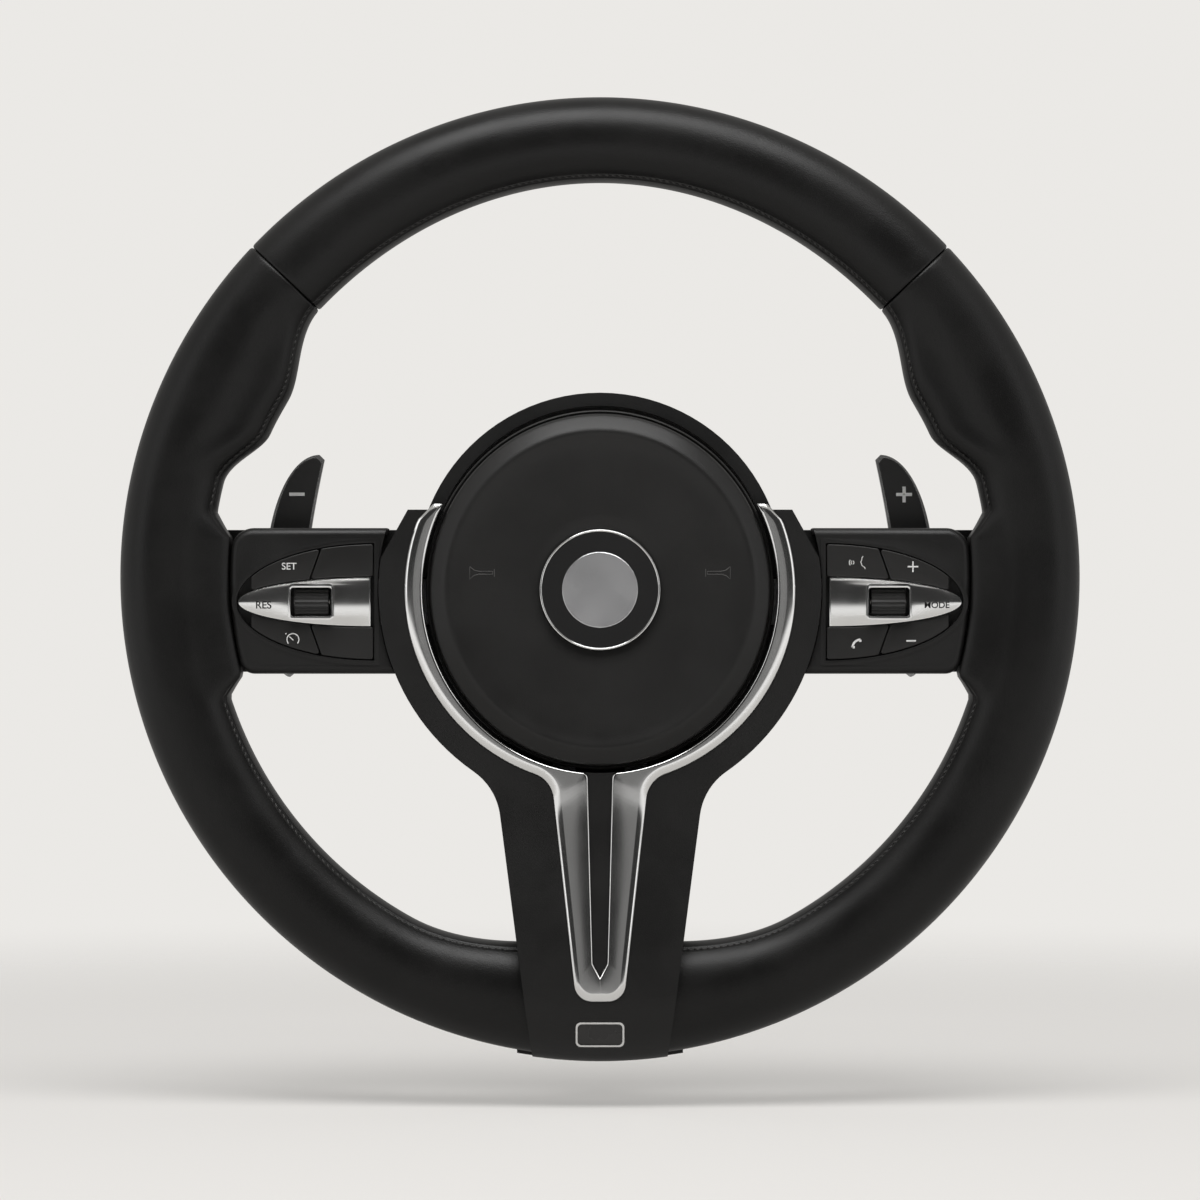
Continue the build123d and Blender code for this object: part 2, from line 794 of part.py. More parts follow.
key_front = housing_front + key_proud
key_back = key_front - key_thickness
stem_end = tray_back + stem_inset
keys_face = left_half_oval(keypad_inner, keypad_nose, keypad_half_height, -key_gap)
keys_face -= left_half_oval(blade_inner, blade_tip, blade_half_height, key_gap)
keys_face &= Pos(-reach / 2 - keypad_inner, 0) * Rectangle(reach, reach)
keys_face -= Pos(-key_nose_cut - reach / 2, 0) * Rectangle(reach, reach)
blade_band = Rectangle(2 * blade_inner, 2 * (blade_half_height + key_gap))
keys_face -= Pos(0, keypad_centre) * blade_band
divider_half = key_gap / 2
divider_reach = keypad_half_height + over
divider_lean = (divider_at_blade - divider_at_edge) / (divider_reach - blade_half_height)
divider_at_centre = divider_at_blade + divider_lean * blade_half_height
for side, row in ((1, "top"), (-1, "bottom")):
    off = keypad_centre + side * divider_reach
    outer_side = polygon(
        (-divider_at_centre - divider_half, keypad_centre),
        (-divider_at_edge - divider_half, off),
        (-reach, off),
        (-reach, keypad_centre),
    )
    inner_side = polygon(
        (-divider_at_centre + divider_half, keypad_centre),
        (-divider_at_edge + divider_half, off),
        (0, off),
        (0, keypad_centre),
    )
    outer_key = (outer_side, outer_stem_at, outer_stem_rise, "outer")
    inner_key = (inner_side, inner_stem_at, inner_stem_rise, "inner")
    for region, at, rise, place in (outer_key, inner_key):
        key_face = keys_face & region
        corners = [v for v in key_face.vertices() if abs(v.X + blade_inner) > key_gap / 2]
        cap = slab(fillet(corners, key_corner), key_back, key_front)
        cap = fillet(front_edges(cap), key_edge)
        stem = Pos(-at, keypad_centre + side * rise) * Rectangle(2 * stem_half, 2 * stem_half)
        key = cap + slab(stem, stem_end, key_back + overlap)
        save(key, "key_left_" + row + "_" + place)
        save(mirror(key, SIDES), "key_right_" + row + "_" + place)

# Silver blades

blade_face = left_half_oval(blade_inner, blade_tip, blade_half_height, 0)
crown_radius = (blade_half_height**2 + blade_crown**2) / (2 * blade_crown)
crown = Pos(0, crown_radius - blade_front, keypad_centre) * Rot(0, 90, 0) * Cylinder(crown_radius, reach)
blade_core = left_half_oval(blade_inner, blade_tip, blade_half_height, -blade_edge)
blade = slab(blade_core, blade_back, blade_front + over) & crown
blade += slab(blade_face, blade_back, blade_front - blade_crown - blade_edge)
frame_spot = Pos(-roller_at, keypad_centre)
frame_face = frame_spot * RectangleRounded(2 * frame_half_width, 2 * frame_half_height, frame_round)
window = frame_spot * RectangleRounded(2 * window_half_width, 2 * window_half_height, frame_round / 2)
blade += slab(frame_face, blade_back, blade_front + frame_proud)
blade -= slab(window, blade_back - over, blade_front + frame_proud + over)
knuckle = pin_spot * Cylinder(knuckle_radius, 2 * knuckle_half_length)
web = Pos(-blade_pin_at, keypad_centre) * Rectangle(2 * knuckle_radius, 2 * knuckle_half_length)
blade = blade + knuckle + slab(web, blade_pin_ahead, blade_back + overlap)
blade -= pin_spot * Cylinder(blade_pin_radius + hole_play, 4 * knuckle_half_length)
both_sides(blade, "blade")

# Rollers

rim_points = []
for index in range(2 * roller_teeth):
    swing = pi * index / roller_teeth
    radius = roller_radius if index % 2 else roller_radius - roller_tooth
    rim_points.append((radius * cos(swing), radius * sin(swing)))
roller = extrude(polygon(*rim_points), amount=roller_half_length, both=True)
roller -= Cylinder(axle_radius + hole_play, 4 * roller_half_length)
both_sides(axle_spot * roller, "roller")

# Paddles


def paddle_outline(inset):
    outer = paddle_outer - inset
    tip = paddle_tip_at + inset
    top = paddle_top - inset
    low = paddle_low + inset
    heel = outer - paddle_heel
    upper_edge = EllipticalCenterArc((-tip, 0), outer - tip, top, start_angle=90, arc_size=90)
    lower_edge = EllipticalCenterArc((-heel, 0), paddle_heel, -low, start_angle=180, arc_size=90)
    inner_line = Spline(
        (-tip + paddle_tip_lap, top - paddle_tip_lap),
        (-tip - paddle_waist, 0),
        (-tip - paddle_heel_inner, low + paddle_tip_lap),
    )
    top_line = Line((-tip, top), inner_line @ 0)
    low_line = Line(inner_line @ 1, (-heel, low))
    return make_face([upper_edge, lower_edge, inner_line, top_line, low_line])


hinge_height = paddle_hinge_top - paddle_hinge_bottom
hinge_middle = (paddle_hinge_top + paddle_hinge_bottom) / 2
paddle_back = paddle_front - paddle_thickness
hinge_spot = Pos(-paddle_hinge_at, -paddle_hinge_ahead, hinge_middle)
paddle = slab(paddle_outline(0), paddle_back, paddle_front)
paddle -= slab(paddle_outline(inlay_inset), paddle_front - inlay_thickness, paddle_front + over)
lever_length = paddle_tip_at + paddle_lever_lap - paddle_hinge_at
lever = Pos(-paddle_hinge_at - lever_length / 2, hinge_middle) * Rectangle(lever_length, hinge_height)
paddle += slab(lever, paddle_back, paddle_front - inlay_thickness - hole_play)
paddle += hinge_spot * Cylinder(paddle_knuckle, hinge_height)
paddle -= hinge_spot * Cylinder(paddle_pin_radius + hole_play, 2 * hinge_height)
both_sides(paddle, "paddle")
inlay_back = paddle_front - inlay_thickness + seat
paddle_inlay = slab(paddle_outline(inlay_inset + hole_play), inlay_back, paddle_front)
both_sides(paddle_inlay, "paddle_inlay")

# Paddle brackets

ear_top = hinge_height / 2 + bracket_gap
bracket_height = 2 * (ear_top + bracket_ear)
base = Pos(-paddle_hinge_at, hinge_middle) * Rectangle(2 * bracket_half_width, bracket_height)
bracket_back = rear_back - bracket_base
bracket = slab(base, bracket_back, rear_back)
for side in (1, -1):
    ear = Pos(-paddle_hinge_at, hinge_middle + side * (ear_top + bracket_ear / 2))
    ear = ear * Rectangle(2 * bracket_half_width, bracket_ear)
    bracket += slab(ear, paddle_hinge_ahead - paddle_knuckle, rear_back)
bracket -= hinge_spot * Cylinder(paddle_pin_radius + close_play, 2 * bracket_height)
paddle_screws = []
cap_front = bracket_back + tray_screw_cap
for side in (1, -1):
    x, z = -paddle_hinge_at, hinge_middle + side * bracket_screw_offset
    bracket -= post(x, z, tray_screw_radius + screw_play, bracket_back - over, rear_back + over)
    bracket -= post(x, z, tray_screw_head + screw_play, bracket_back - over, cap_front)
    for hole_x in (x, -x):
        rear_cover -= post(hole_x, z, tray_screw_radius + hole_play, rear_back - over, rear_front + over)
    screw = post(x, z, tray_screw_radius, cap_front - overlap, rear_front + tray_screw_bite)
    screw += post(x, z, tray_screw_head, bracket_back, cap_front - seat)
    paddle_screws += [screw, mirror(screw, SIDES)]
both_sides(bracket, "paddle_bracket")
both_sides(hinge_spot * Cylinder(paddle_pin_radius, bracket_height), "paddle_pin")
save(Compound(paddle_screws), "paddle_screws")
save(rear_cover, "rear_cover")

# Airbag cover and badge

lip = slab(pad_oval(0), pad_back, lip_front)
lip = fillet(front_edges(lip), lip_round)
shoulder = slab(pad_oval(-pad_step), pad_back, pad_front)
shoulder = fillet(front_edges(shoulder), pad_round)
bowl_radius = (dish_radius**2 + dish_depth**2) / (2 * dish_depth)
bowl = Pos(0, -(pad_front - dish_depth + bowl_radius), pad_centre) * Sphere(bowl_radius)
airbag_cover = lip + shoulder - bowl
pad_inside = pad_oval(-pad_step - pad_wall)
airbag_cover -= slab(pad_inside, pad_back - over, pad_front - pad_roof)
bowl_floor = pad_front - dish_depth
badge_floor = bowl_floor - badge_recess
airbag_cover -= post(0, pad_centre, badge_radius + fit, badge_floor, pad_front + over)
save(airbag_cover, "airbag_cover")

badge_front = bowl_floor + badge_proud
badge_base = post(0, pad_centre, badge_radius, badge_floor + seat, badge_front)
badge_base = fillet(front_edges(badge_base), badge_round)
disc_floor = badge_front - disc_recess
badge_base -= post(0, pad_centre, disc_radius + hole_play, disc_floor, badge_front + over)
save(badge_base, "badge_base")
badge_disc = post(0, pad_centre, disc_radius, disc_floor + seat, badge_front + disc_proud)
badge_disc = fillet(front_edges(badge_disc), disc_proud)
save(badge_disc, "badge_disc")

# Airbag module behind the cover

can_base = can_back + can_sheet
can_inside = can_radius - can_sheet
can = post(0, pad_centre, can_radius, can_back, can_front)
can -= post(0, pad_centre, can_inside, can_base, can_front + over)
tab_back = pad_back + tab_gap
tab = slab(pad_oval(-pad_step - pad_wall - fit), tab_back, tab_back + can_sheet)
can += tab - post(0, pad_centre, can_radius - overlap, tab_back - over, can_front)
can -= post(0, pad_centre, inflator_radius + fit, can_back - over, can_base + over)
save(can, "airbag_can")
inflator = post(0, pad_centre, inflator_radius, inflator_back, inflator_front)
inflator = fillet(inflator.edges().filter_by(GeomType.CIRCLE), inflator_round)
inflator += post(0, pad_centre, flange_radius, can_base + seat, can_base + can_sheet)
save(inflator, "inflator")
cushion = post(0, pad_centre, can_inside - cushion_gap, can_base + 2 * can_sheet, cushion_front)
cushion -= post(0, pad_centre, inflator_radius + cushion_gap, can_base, inflator_front + cushion_gap)
save(cushion, "airbag_cushion")

guide_pins = []
horn_springs = []
spring_start = plate_front + spring_wire / 2 + seat
spring_length = can_back - pin_collar_thickness - spring_wire / 2 - seat - spring_start
head_front = plate_back - pin_stop
head_back = head_front - pin_head_thickness
pin_end = can_back - seat
for x, z in pin_spots():
    pin = post(x, z, pin_radius, head_back, pin_end)
    pin += post(x, z, pin_head_radius, head_back, head_front)
    pin += post(x, z, pin_head_radius, can_back - pin_collar_thickness, pin_end)
    guide_pins.append(pin)
    coil = Helix(spring_length / spring_turns, spring_length, spring_radius)
    section = Plane(coil @ 0, z_dir=coil % 0) * RegularPolygon(spring_wire / 2, spring_sides)
    wire = sweep(section, path=coil, is_frenet=True)
    horn_springs.append(Pos(x, -spring_start, z) * Rot(90, 0, 0) * wire)
save(Compound(guide_pins), "guide_pins")
save(Compound(horn_springs), "horn_springs")
print("parts written")
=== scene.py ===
from math import atan2, ceil, copysign, cos, hypot, pi, radians, sin
import bpy
from mathutils import Matrix, Vector


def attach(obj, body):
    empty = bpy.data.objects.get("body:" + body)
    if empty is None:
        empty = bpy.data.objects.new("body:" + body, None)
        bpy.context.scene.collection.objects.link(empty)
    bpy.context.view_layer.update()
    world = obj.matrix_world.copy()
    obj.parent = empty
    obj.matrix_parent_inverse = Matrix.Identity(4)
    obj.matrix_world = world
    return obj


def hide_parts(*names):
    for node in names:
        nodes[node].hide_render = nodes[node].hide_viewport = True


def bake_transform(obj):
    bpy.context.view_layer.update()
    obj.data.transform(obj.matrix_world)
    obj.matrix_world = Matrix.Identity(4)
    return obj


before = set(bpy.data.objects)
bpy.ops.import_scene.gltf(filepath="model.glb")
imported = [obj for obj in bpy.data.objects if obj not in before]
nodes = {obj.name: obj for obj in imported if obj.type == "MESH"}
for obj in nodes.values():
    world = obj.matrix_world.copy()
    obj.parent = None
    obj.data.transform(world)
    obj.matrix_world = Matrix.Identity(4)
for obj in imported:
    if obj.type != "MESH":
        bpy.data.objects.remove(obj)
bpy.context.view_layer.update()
mm = 0.001  # the wheel's sizes below are in millimetres
print("frame loaded:", len(nodes), "nodes")

weld = {"made": 0.002, "cad": 0.001, "flatAngle": 0.5}  # how close points merge, and what counts as flat
picking = {"square": 0.9, "near": 0.1, "plumb": 0.02}  # how closely a picked face or edge has to lie


def place(x, ahead, z):  # ahead runs from the rear face of the hub to the driver
    return Vector((x, -ahead, z)) * mm


def deselectAll():
    if bpy.context.mode != "OBJECT":
        bpy.ops.object.mode_set(mode="OBJECT")
    bpy.ops.object.select_all(action="DESELECT")


def only(piece):
    deselectAll()
    piece.select_set(True)
    bpy.context.view_layer.objects.active = piece


def edit(piece, kind="VERT"):
    only(piece)
    bpy.ops.object.mode_set(mode="EDIT")
    bpy.ops.mesh.select_mode(type=kind)


def editAll(piece, kind="VERT"):
    edit(piece, kind)
    bpy.ops.mesh.select_all(action="SELECT")


def pick(piece, kind, test):  # kind is edges or polygons
    edit(piece, {"edges": "EDGE", "polygons": "FACE"}[kind])
    bpy.ops.mesh.select_all(action="DESELECT")
    bpy.ops.object.mode_set(mode="OBJECT")
    for item in getattr(piece.data, kind):
        item.select = test(item)
    bpy.ops.object.mode_set(mode="EDIT")


def applyPlace():
    bpy.ops.object.transform_apply(location=True, rotation=True, scale=True)


def outward(piece):
    editAll(piece)
    bpy.ops.mesh.remove_doubles(threshold=weld["made"] * mm)
    bpy.ops.mesh.normals_make_consistent(inside=False)
    bpy.ops.object.mode_set(mode="OBJECT")


def finishPiece(piece, name, material, body, smoothAngle):
    only(piece)
    applyPlace()
    bpy.ops.object.shade_smooth_by_angle(angle=radians(smoothAngle))
    piece.name = name
    piece.data.name = name
    piece.data.materials.clear()
    piece.data.materials.append(material)
    if body:
        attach(piece, body)


# shared surface effects, each with the height of its pattern and a slow change of tone
toneRange = (0.3, 0.7)


def newEffect(name):
    group = bpy.data.node_groups.new(name, "ShaderNodeTree")
    group.interface.new_socket("Vector", in_out="INPUT", socket_type="NodeSocketVector")
    cell = group.interface.new_socket("Cell", in_out="INPUT", socket_type="NodeSocketFloat")
    cell.default_value = mm
    for label in ("Height", "Tone"):
        group.interface.new_socket(label, in_out="OUTPUT", socket_type="NodeSocketFloat")
    return group, group.nodes.new("NodeGroupInput"), group.nodes.new("NodeGroupOutput")


def addNode(tree, kind, inputs=None, **settings):
    node = tree.nodes.new("ShaderNode" + kind)
    for name, value in settings.items():
        setattr(node, name, value)
    for name, value in (inputs or {}).items():
        if isinstance(value, bpy.types.NodeSocket):
            tree.links.new(value, node.inputs[name])
        else:
            node.inputs[name].default_value = value
    return node


def maths(tree, operation, first, second):
    return addNode(tree, "Math", {0: first, 1: second}, operation=operation).outputs[0]


def spread(tree, value, low, high, toLow, toHigh):
    sockets = {"Value": value, "From Min": low, "From Max": high, "To Min": toLow, "To Max": toHigh}
    return addNode(tree, "MapRange", sockets, interpolation_type="SMOOTHSTEP").outputs[0]


def noiseAt(tree, vector, scale, detail):
    return addNode(tree, "TexNoise", {"Vector": vector, "Scale": scale, "Detail": detail})


def addTone(group, start, end, patch):
    broad = noiseAt(group, start.outputs["Vector"], *patch)
    group.links.new(spread(group, broad.outputs[0], *toneRange, 0.0, 1.0), end.inputs["Tone"])


hide = {
    "wander": 0.4,
    "edge": 0.28,
    "pore": 3.5,
    "detail": 2.0,
    "pebbleHeight": 0.8,
    "poreHeight": 0.3,
    "patch": (38.0, 4.0),  # scale and detail of the change of tone
}


def makeHideGrain():  # pebbled hide with fine pores
    group, start, end = newEffect("hideGrain")
    vector, cell = start.outputs["Vector"], start.outputs["Cell"]
    scale = maths(group, "DIVIDE", 1.0, cell)
    wander = noiseAt(group, vector, maths(group, "MULTIPLY", scale, hide["wander"]), hide["detail"])
    shift = addNode(group, "VectorMath", {0: wander.outputs["Color"], "Scale": cell}, operation="SCALE")
    moved = addNode(group, "VectorMath", {0: vector, 1: shift.outputs[0]}, operation="ADD")
    sockets = {"Vector": moved.outputs[0], "Scale": scale}
    cells = addNode(group, "TexVoronoi", sockets, feature="DISTANCE_TO_EDGE")
    pebble = spread(group, cells.outputs["Distance"], 0.0, hide["edge"], 0.0, 1.0)
    pebble = maths(group, "MULTIPLY", pebble, hide["pebbleHeight"])
    pores = noiseAt(group, vector, maths(group, "MULTIPLY", scale, hide["pore"]), hide["detail"])
    pores = maths(group, "MULTIPLY", pores.outputs[0], hide["poreHeight"])
    group.links.new(maths(group, "ADD", pebble, pores), end.inputs["Height"])
    addTone(group, start, end, hide["patch"])
    return group


mould = {"range": (0.35, 0.65), "detail": 3.0, "patch": (30.0, 5.0)}


def makeMouldGrain():  # spark-eroded stipple of a moulded part
    group, start, end = newEffect("mouldGrain")
    scale = maths(group, "DIVIDE", 1.0, start.outputs["Cell"])
    stipple = noiseAt(group, start.outputs["Vector"], scale, mould["detail"])
    group.links.new(spread(group, stipple.outputs[0], *mould["range"], 0.0, 1.0), end.inputs["Height"])
    addTone(group, start, end, mould["patch"])
    return group


brushed = {"stretch": (0.02, 1.0, 1.0), "detail": 2.0, "patch": (55.0, 4.0)}


def makeBrushedLines():  # fine polishing lines along X with faint smears
    group, start, end = newEffect("brushedLines")
    stretch = addNode(group, "Mapping", {"Vector": start.outputs["Vector"], "Scale": brushed["stretch"]})
    scale = maths(group, "DIVIDE", 1.0, start.outputs["Cell"])
    lines = noiseAt(group, stretch.outputs[0], scale, brushed["detail"])
    group.links.new(lines.outputs[0], end.inputs["Height"])
    addTone(group, start, end, brushed["patch"])
    return group


spun = {"middle": (0.0, 0.0, 0.005), "flatten": (1.0, 0.0, 1.0), "detail": 2.0, "patch": (60.0, 4.0)}


def makeSpunRings():  # turned rings round the badge centre
    group, start, end = newEffect("spunRings")
    sockets = {"Vector": start.outputs["Vector"], "Location": spun["middle"], "Scale": spun["flatten"]}
    centred = addNode(group, "Mapping", sockets)
    reach = addNode(group, "VectorMath", {0: centred.outputs[0]}, operation="LENGTH")
    turns = maths(group, "DIVIDE", reach.outputs["Value"], start.outputs["Cell"])
    sockets = {"W": turns, "Scale": 1.0, "Detail": spun["detail"]}
    rings = addNode(group, "TexNoise", sockets, noise_dimensions="1D")
    group.links.new(rings.outputs[0], end.inputs["Height"])
    addTone(group, start, end, spun["patch"])
    return group


hideGrain = makeHideGrain()
mouldGrain = makeMouldGrain()
brushedLines = makeBrushedLines()
spunRings = makeSpunRings()


def finish(name, group, cell, dark, light, smoothest, roughest, bump, constants=None):
    material = bpy.data.materials.new(name)
    material.use_nodes = True
    tree = material.node_tree
    shader = tree.nodes["Principled BSDF"]
    coords = tree.nodes.new("ShaderNodeTexCoord")
    effect = tree.nodes.new("ShaderNodeGroup")
    effect.node_tree = group
    effect.inputs["Cell"].default_value = cell * mm
    tree.links.new(coords.outputs["Object"], effect.inputs["Vector"])
    sockets = {0: effect.outputs["Tone"], 6: (*dark, 1.0), 7: (*light, 1.0)}
    colour = addNode(tree, "Mix", sockets, data_type="RGBA")
    tree.links.new(colour.outputs[2], shader.inputs["Base Color"])
    rough = spread(tree, effect.outputs["Tone"], 0.0, 1.0, smoothest, roughest)
    tree.links.new(rough, shader.inputs["Roughness"])
    sockets = {"Strength": 1.0, "Distance": bump * mm, "Height": effect.outputs["Height"]}
    relief = addNode(tree, "Bump", sockets)
    tree.links.new(relief.outputs[0], shader.inputs["Normal"])
    for socket, value in (constants or {}).items():
        shader.inputs[socket].default_value = value
    return material


def grey(level):  # a little warmer than plain grey
    return (level, level * 0.97, level * 0.94)


metal = {"Metallic": 1.0}
lacquer = {"Coat Weight": 1.0, "Coat Roughness": 0.04}
quiet = {"Specular IOR Level": 0.35}
waxed = {"Specular IOR Level": 0.27}

# effect, its cell, darkest and lightest colour, smoothest and roughest, depth of the bump, fixed sockets
blackLeather = finish("blackLeather", hideGrain, 0.75, grey(0.0060), grey(0.0090), 0.33, 0.39, 0.022, waxed)
softPad = finish("softPad", mouldGrain, 0.45, grey(0.012), grey(0.016), 0.37, 0.43, 0.010, quiet)
grainedBlack = finish("grainedBlack", mouldGrain, 0.5, grey(0.007), grey(0.010), 0.38, 0.46, 0.016, quiet)
keyBlack = finish("keyBlack", mouldGrain, 0.35, grey(0.016), grey(0.020), 0.36, 0.44, 0.006, quiet)
darkPlastic = finish("darkPlastic", mouldGrain, 0.6, grey(0.014), grey(0.020), 0.50, 0.60, 0.015)
glossBlack = finish("glossBlack", mouldGrain, 2.0, grey(0.004), grey(0.006), 0.05, 0.12, 0.0005, lacquer)
softBlack = finish("softBlack", mouldGrain, 0.3, grey(0.010), grey(0.014), 0.55, 0.65, 0.010)
brightChrome = finish(
    "brightChrome", mouldGrain, 1.5, (0.76, 0.76, 0.75), (0.80, 0.80, 0.79), 0.10, 0.14, 0.0004, metal,
)
satinSilver = finish(
    "satinSilver", brushedLines, 0.12, (0.74, 0.74, 0.73), (0.78, 0.78, 0.77), 0.13, 0.17, 0.0006, metal,
)
spunSilver = finish(
    "spunSilver", spunRings, 0.5, (0.66, 0.66, 0.67), (0.70, 0.70, 0.71), 0.22, 0.26, 0.0012, metal,
)
bareSteel = finish(
    "bareSteel", brushedLines, 0.3, (0.42, 0.41, 0.40), (0.52, 0.51, 0.50), 0.30, 0.42, 0.003, metal,
)
castAlloy = finish(
    "castAlloy", mouldGrain, 0.8, (0.50, 0.50, 0.51), (0.60, 0.60, 0.61), 0.42, 0.55, 0.03, metal,
)
paddleFace = finish("paddleFace", mouldGrain, 0.4, grey(0.012), grey(0.016), 0.38, 0.46, 0.010)
plainInlay = finish("plainInlay", brushedLines, 0.2, grey(0.018), grey(0.030), 0.22, 0.32, 0.002)
boardGreen = finish(
    "boardGreen", mouldGrain, 1.2, (0.010, 0.050, 0.022), (0.014, 0.066, 0.030), 0.30, 0.42, 0.01,
)
cushionCloth = finish(
    "cushionCloth", mouldGrain, 0.5, (0.56, 0.55, 0.50), (0.64, 0.63, 0.58), 0.75, 0.85, 0.05,
)
threadBlack = finish("threadBlack", mouldGrain, 0.2, grey(0.034), grey(0.050), 0.55, 0.65, 0.02)
paleInk = finish("paleInk", mouldGrain, 0.3, (0.84, 0.84, 0.83), (0.90, 0.90, 0.89), 0.45, 0.55, 0.002)
darkInk = finish("darkInk", mouldGrain, 0.3, grey(0.004), grey(0.006), 0.60, 0.70, 0.002, quiet)
faintInk = finish("faintInk", mouldGrain, 0.3, grey(0.060), grey(0.075), 0.45, 0.55, 0.002)


def dress(material, *names):
    for name in names:
        nodes[name].data.materials.clear()
        nodes[name].data.materials.append(material)


def pair(name):
    return [name + "_left", name + "_right"]


# the CAD pieces that show as they are; the others are replaced further down
dress(grainedBlack, "spoke_cover", "rear_cover")
dress(satinSilver, *pair("paddle"))
dress(softBlack, *pair("roller"))
dress(paddleFace, *pair("paddle_inlay"))
dress(brightChrome, "lower_badge_frame")
dress(plainInlay, "lower_badge_inlay")
dress(glossBlack, "badge_base")
dress(spunSilver, "badge_disc")
dress(castAlloy, "armature")
dress(bareSteel, "hub_insert", "cover_screws", "paddle_screws", "tray_screws", "guide_pins")
dress(bareSteel, "airbag_can", "inflator", *pair("roller_axle"), *pair("blade_pin"), *pair("paddle_pin"))
dress(darkPlastic, *pair("switch_tray"), *pair("paddle_bracket"))
dress(boardGreen, *pair("switch_board"))
dress(cushionCloth, "airbag_cushion")
print("materials done")

# leather round the rim, in three wraps with rolled ends
rim = {
    "radius": 185.0,
    "ahead": 50.0,
    "depth": 31.0,
    "fullness": 2.15,
    "widths": (  # angle from the top, width of the tube
        (0.0, 33.0), (46.5, 35.6), (60.5, 46.9), (66.5, 46.5), (76.0, 35.4), (151.0, 35.0), (180.0, 45.0),
    ),
    "sides": 60,
    "step": 0.7,
    "seamAngle": 46.5,
    "seamHalfGap": 0.02,
    "seamRoll": ((0.0, 1.1), (0.12, 0.75), (0.35, 0.36), (0.75, 0.1), (1.4, 0.0)),  # way from seam, sink
    "grooveSwing": 150.5,
    "grooveHalf": 3.6,
    "grooveDepth": 0.6,
    "grooveFloor": 0.1,  # these three are in half widths of the groove
    "grooveRuns": (0.15, 0.5, 1.0, 1.8),
    "grooveClear": 2,
}
thumbRest = {
    "start": (48.5, 57.0),
    "end": (67.0, 75.0),
    "valley": 2.4,
    "valleyAt": 0.68,
    "valleyHalf": 0.19,
    "rearShare": 0.6,
}
spokeRoot = {"top": (80.4, 84.0), "bottom": (105.3, 107.9), "reach": 142.8, "flat": 6.5, "soft": 13.5}
spunTube = {"turn": 150.0, "reach": 1.0, "radius": 0.1}  # a ring of points before it is shaped


def degreesOf(first, second):
    return atan2(second, first) * 180.0 / pi


def degreesFor(length, radius):
    return length * 180.0 / (pi * radius)


def ramp(value, low, high):
    return min(max((value - low) / (high - low), 0.0), 1.0)


def smooth(value, low, high):
    part = ramp(value, low, high)
    return part * part * (3 - 2 * part)


def rimWidth(angle):
    for (start, width), (end, nextWidth) in zip(rim["widths"], rim["widths"][1:]):
        if angle <= end:
            return width + (nextWidth - width) * smooth(angle, start, end)
    return rim["widths"][-1][1]


def rimPoint(angle, swing, inset=0.0):  # swing goes round the section: 0 outside, 90 front, 180 inside
    turn = abs(angle)
    width = rimWidth(turn)
    power = 2.0 / rim["fullness"]
    c, s = cos(radians(swing)), sin(radians(swing))
    across = (width / 2 - inset) * copysign(abs(c) ** power, c)
    deep = (rim["depth"] / 2 - inset) * copysign(abs(s) ** power, s)
    radial = rim["radius"] - width / 2 + across
    along = (rim["radius"] - radial) / width
    rest = smooth(turn, *thumbRest["start"]) * (1 - smooth(turn, *thumbRest["end"]))
    dip = max(0.0, 1 - ((along - thumbRest["valleyAt"]) / thumbRest["valleyHalf"]) ** 2) ** 2
    deep -= thumbRest["valley"] * rest * dip * (1.0 if s > 0 else -thumbRest["rearShare"])
    root = ramp(turn, *spokeRoot["top"]) * (1 - ramp(turn, *spokeRoot["bottom"]))
    if c < 0:
        pull = root * (1 - smooth(abs(deep), spokeRoot["flat"], spokeRoot["soft"]))
        radial -= pull * (radial - spokeRoot["reach"])
    return place(radial * sin(radians(angle)), rim["ahead"] + deep, radial * cos(radians(angle)))


def rimSwings():
    groove, half = rim["grooveSwing"], rim["grooveHalf"]
    swings = [360.0 * index / rim["sides"] for index in range(rim["sides"])]
    swings = [swing for swing in swings if abs(swing - groove) > rim["grooveClear"] * half]
    swings += [groove + side * part * half for side in (-1, 1) for part in rim["grooveRuns"]]
    return sorted(swings)


def ringAngles(start, end):  # pairs of angle and inset, closer at the rolled ends
    degree = degreesFor(1.0, rim["radius"])
    rolls = [(start + back * degree, inset) for back, inset in rim["seamRoll"]]
    first = rolls[-1][0]
    last = end - rim["seamRoll"][-1][0] * degree
    count = ceil((last - first) / rim["step"])
    rings = rolls + [(first + (last - first) * index / count, 0.0) for index in range(1, count)]
    return rings + [(end - back * degree, inset) for back, inset in reversed(rim["seamRoll"])]


def sweptTube(rings, sides, spot):  # a spun ring, whose points are then sent to their own places
    deselectAll()
    reach = spunTube["reach"]
    bpy.ops.mesh.primitive_circle_add(vertices=sides, radius=spunTube["radius"], location=(reach, 0, 0))
    piece = bpy.context.object
    applyPlace()
    editAll(piece)
    angle = radians(spunTube["turn"])
    bpy.ops.mesh.spin(steps=rings - 1, angle=angle, center=(0, 0, 0), axis=(0, 1, 0))
    bpy.ops.object.mode_set(mode="OBJECT")
    turn = spunTube["turn"] / (rings - 1)
    for vertex in piece.data.vertices:
        x, y, z = vertex.co
        ring = round(abs(degreesOf(x, z)) / turn)
        side = round(degreesOf(hypot(x, z) - reach, -y) * sides / 360.0) % sides
        vertex.co = spot(ring, side)
    editAll(piece)
    bpy.ops.mesh.fill_holes(sides=0)
    outward(piece)
    return piece


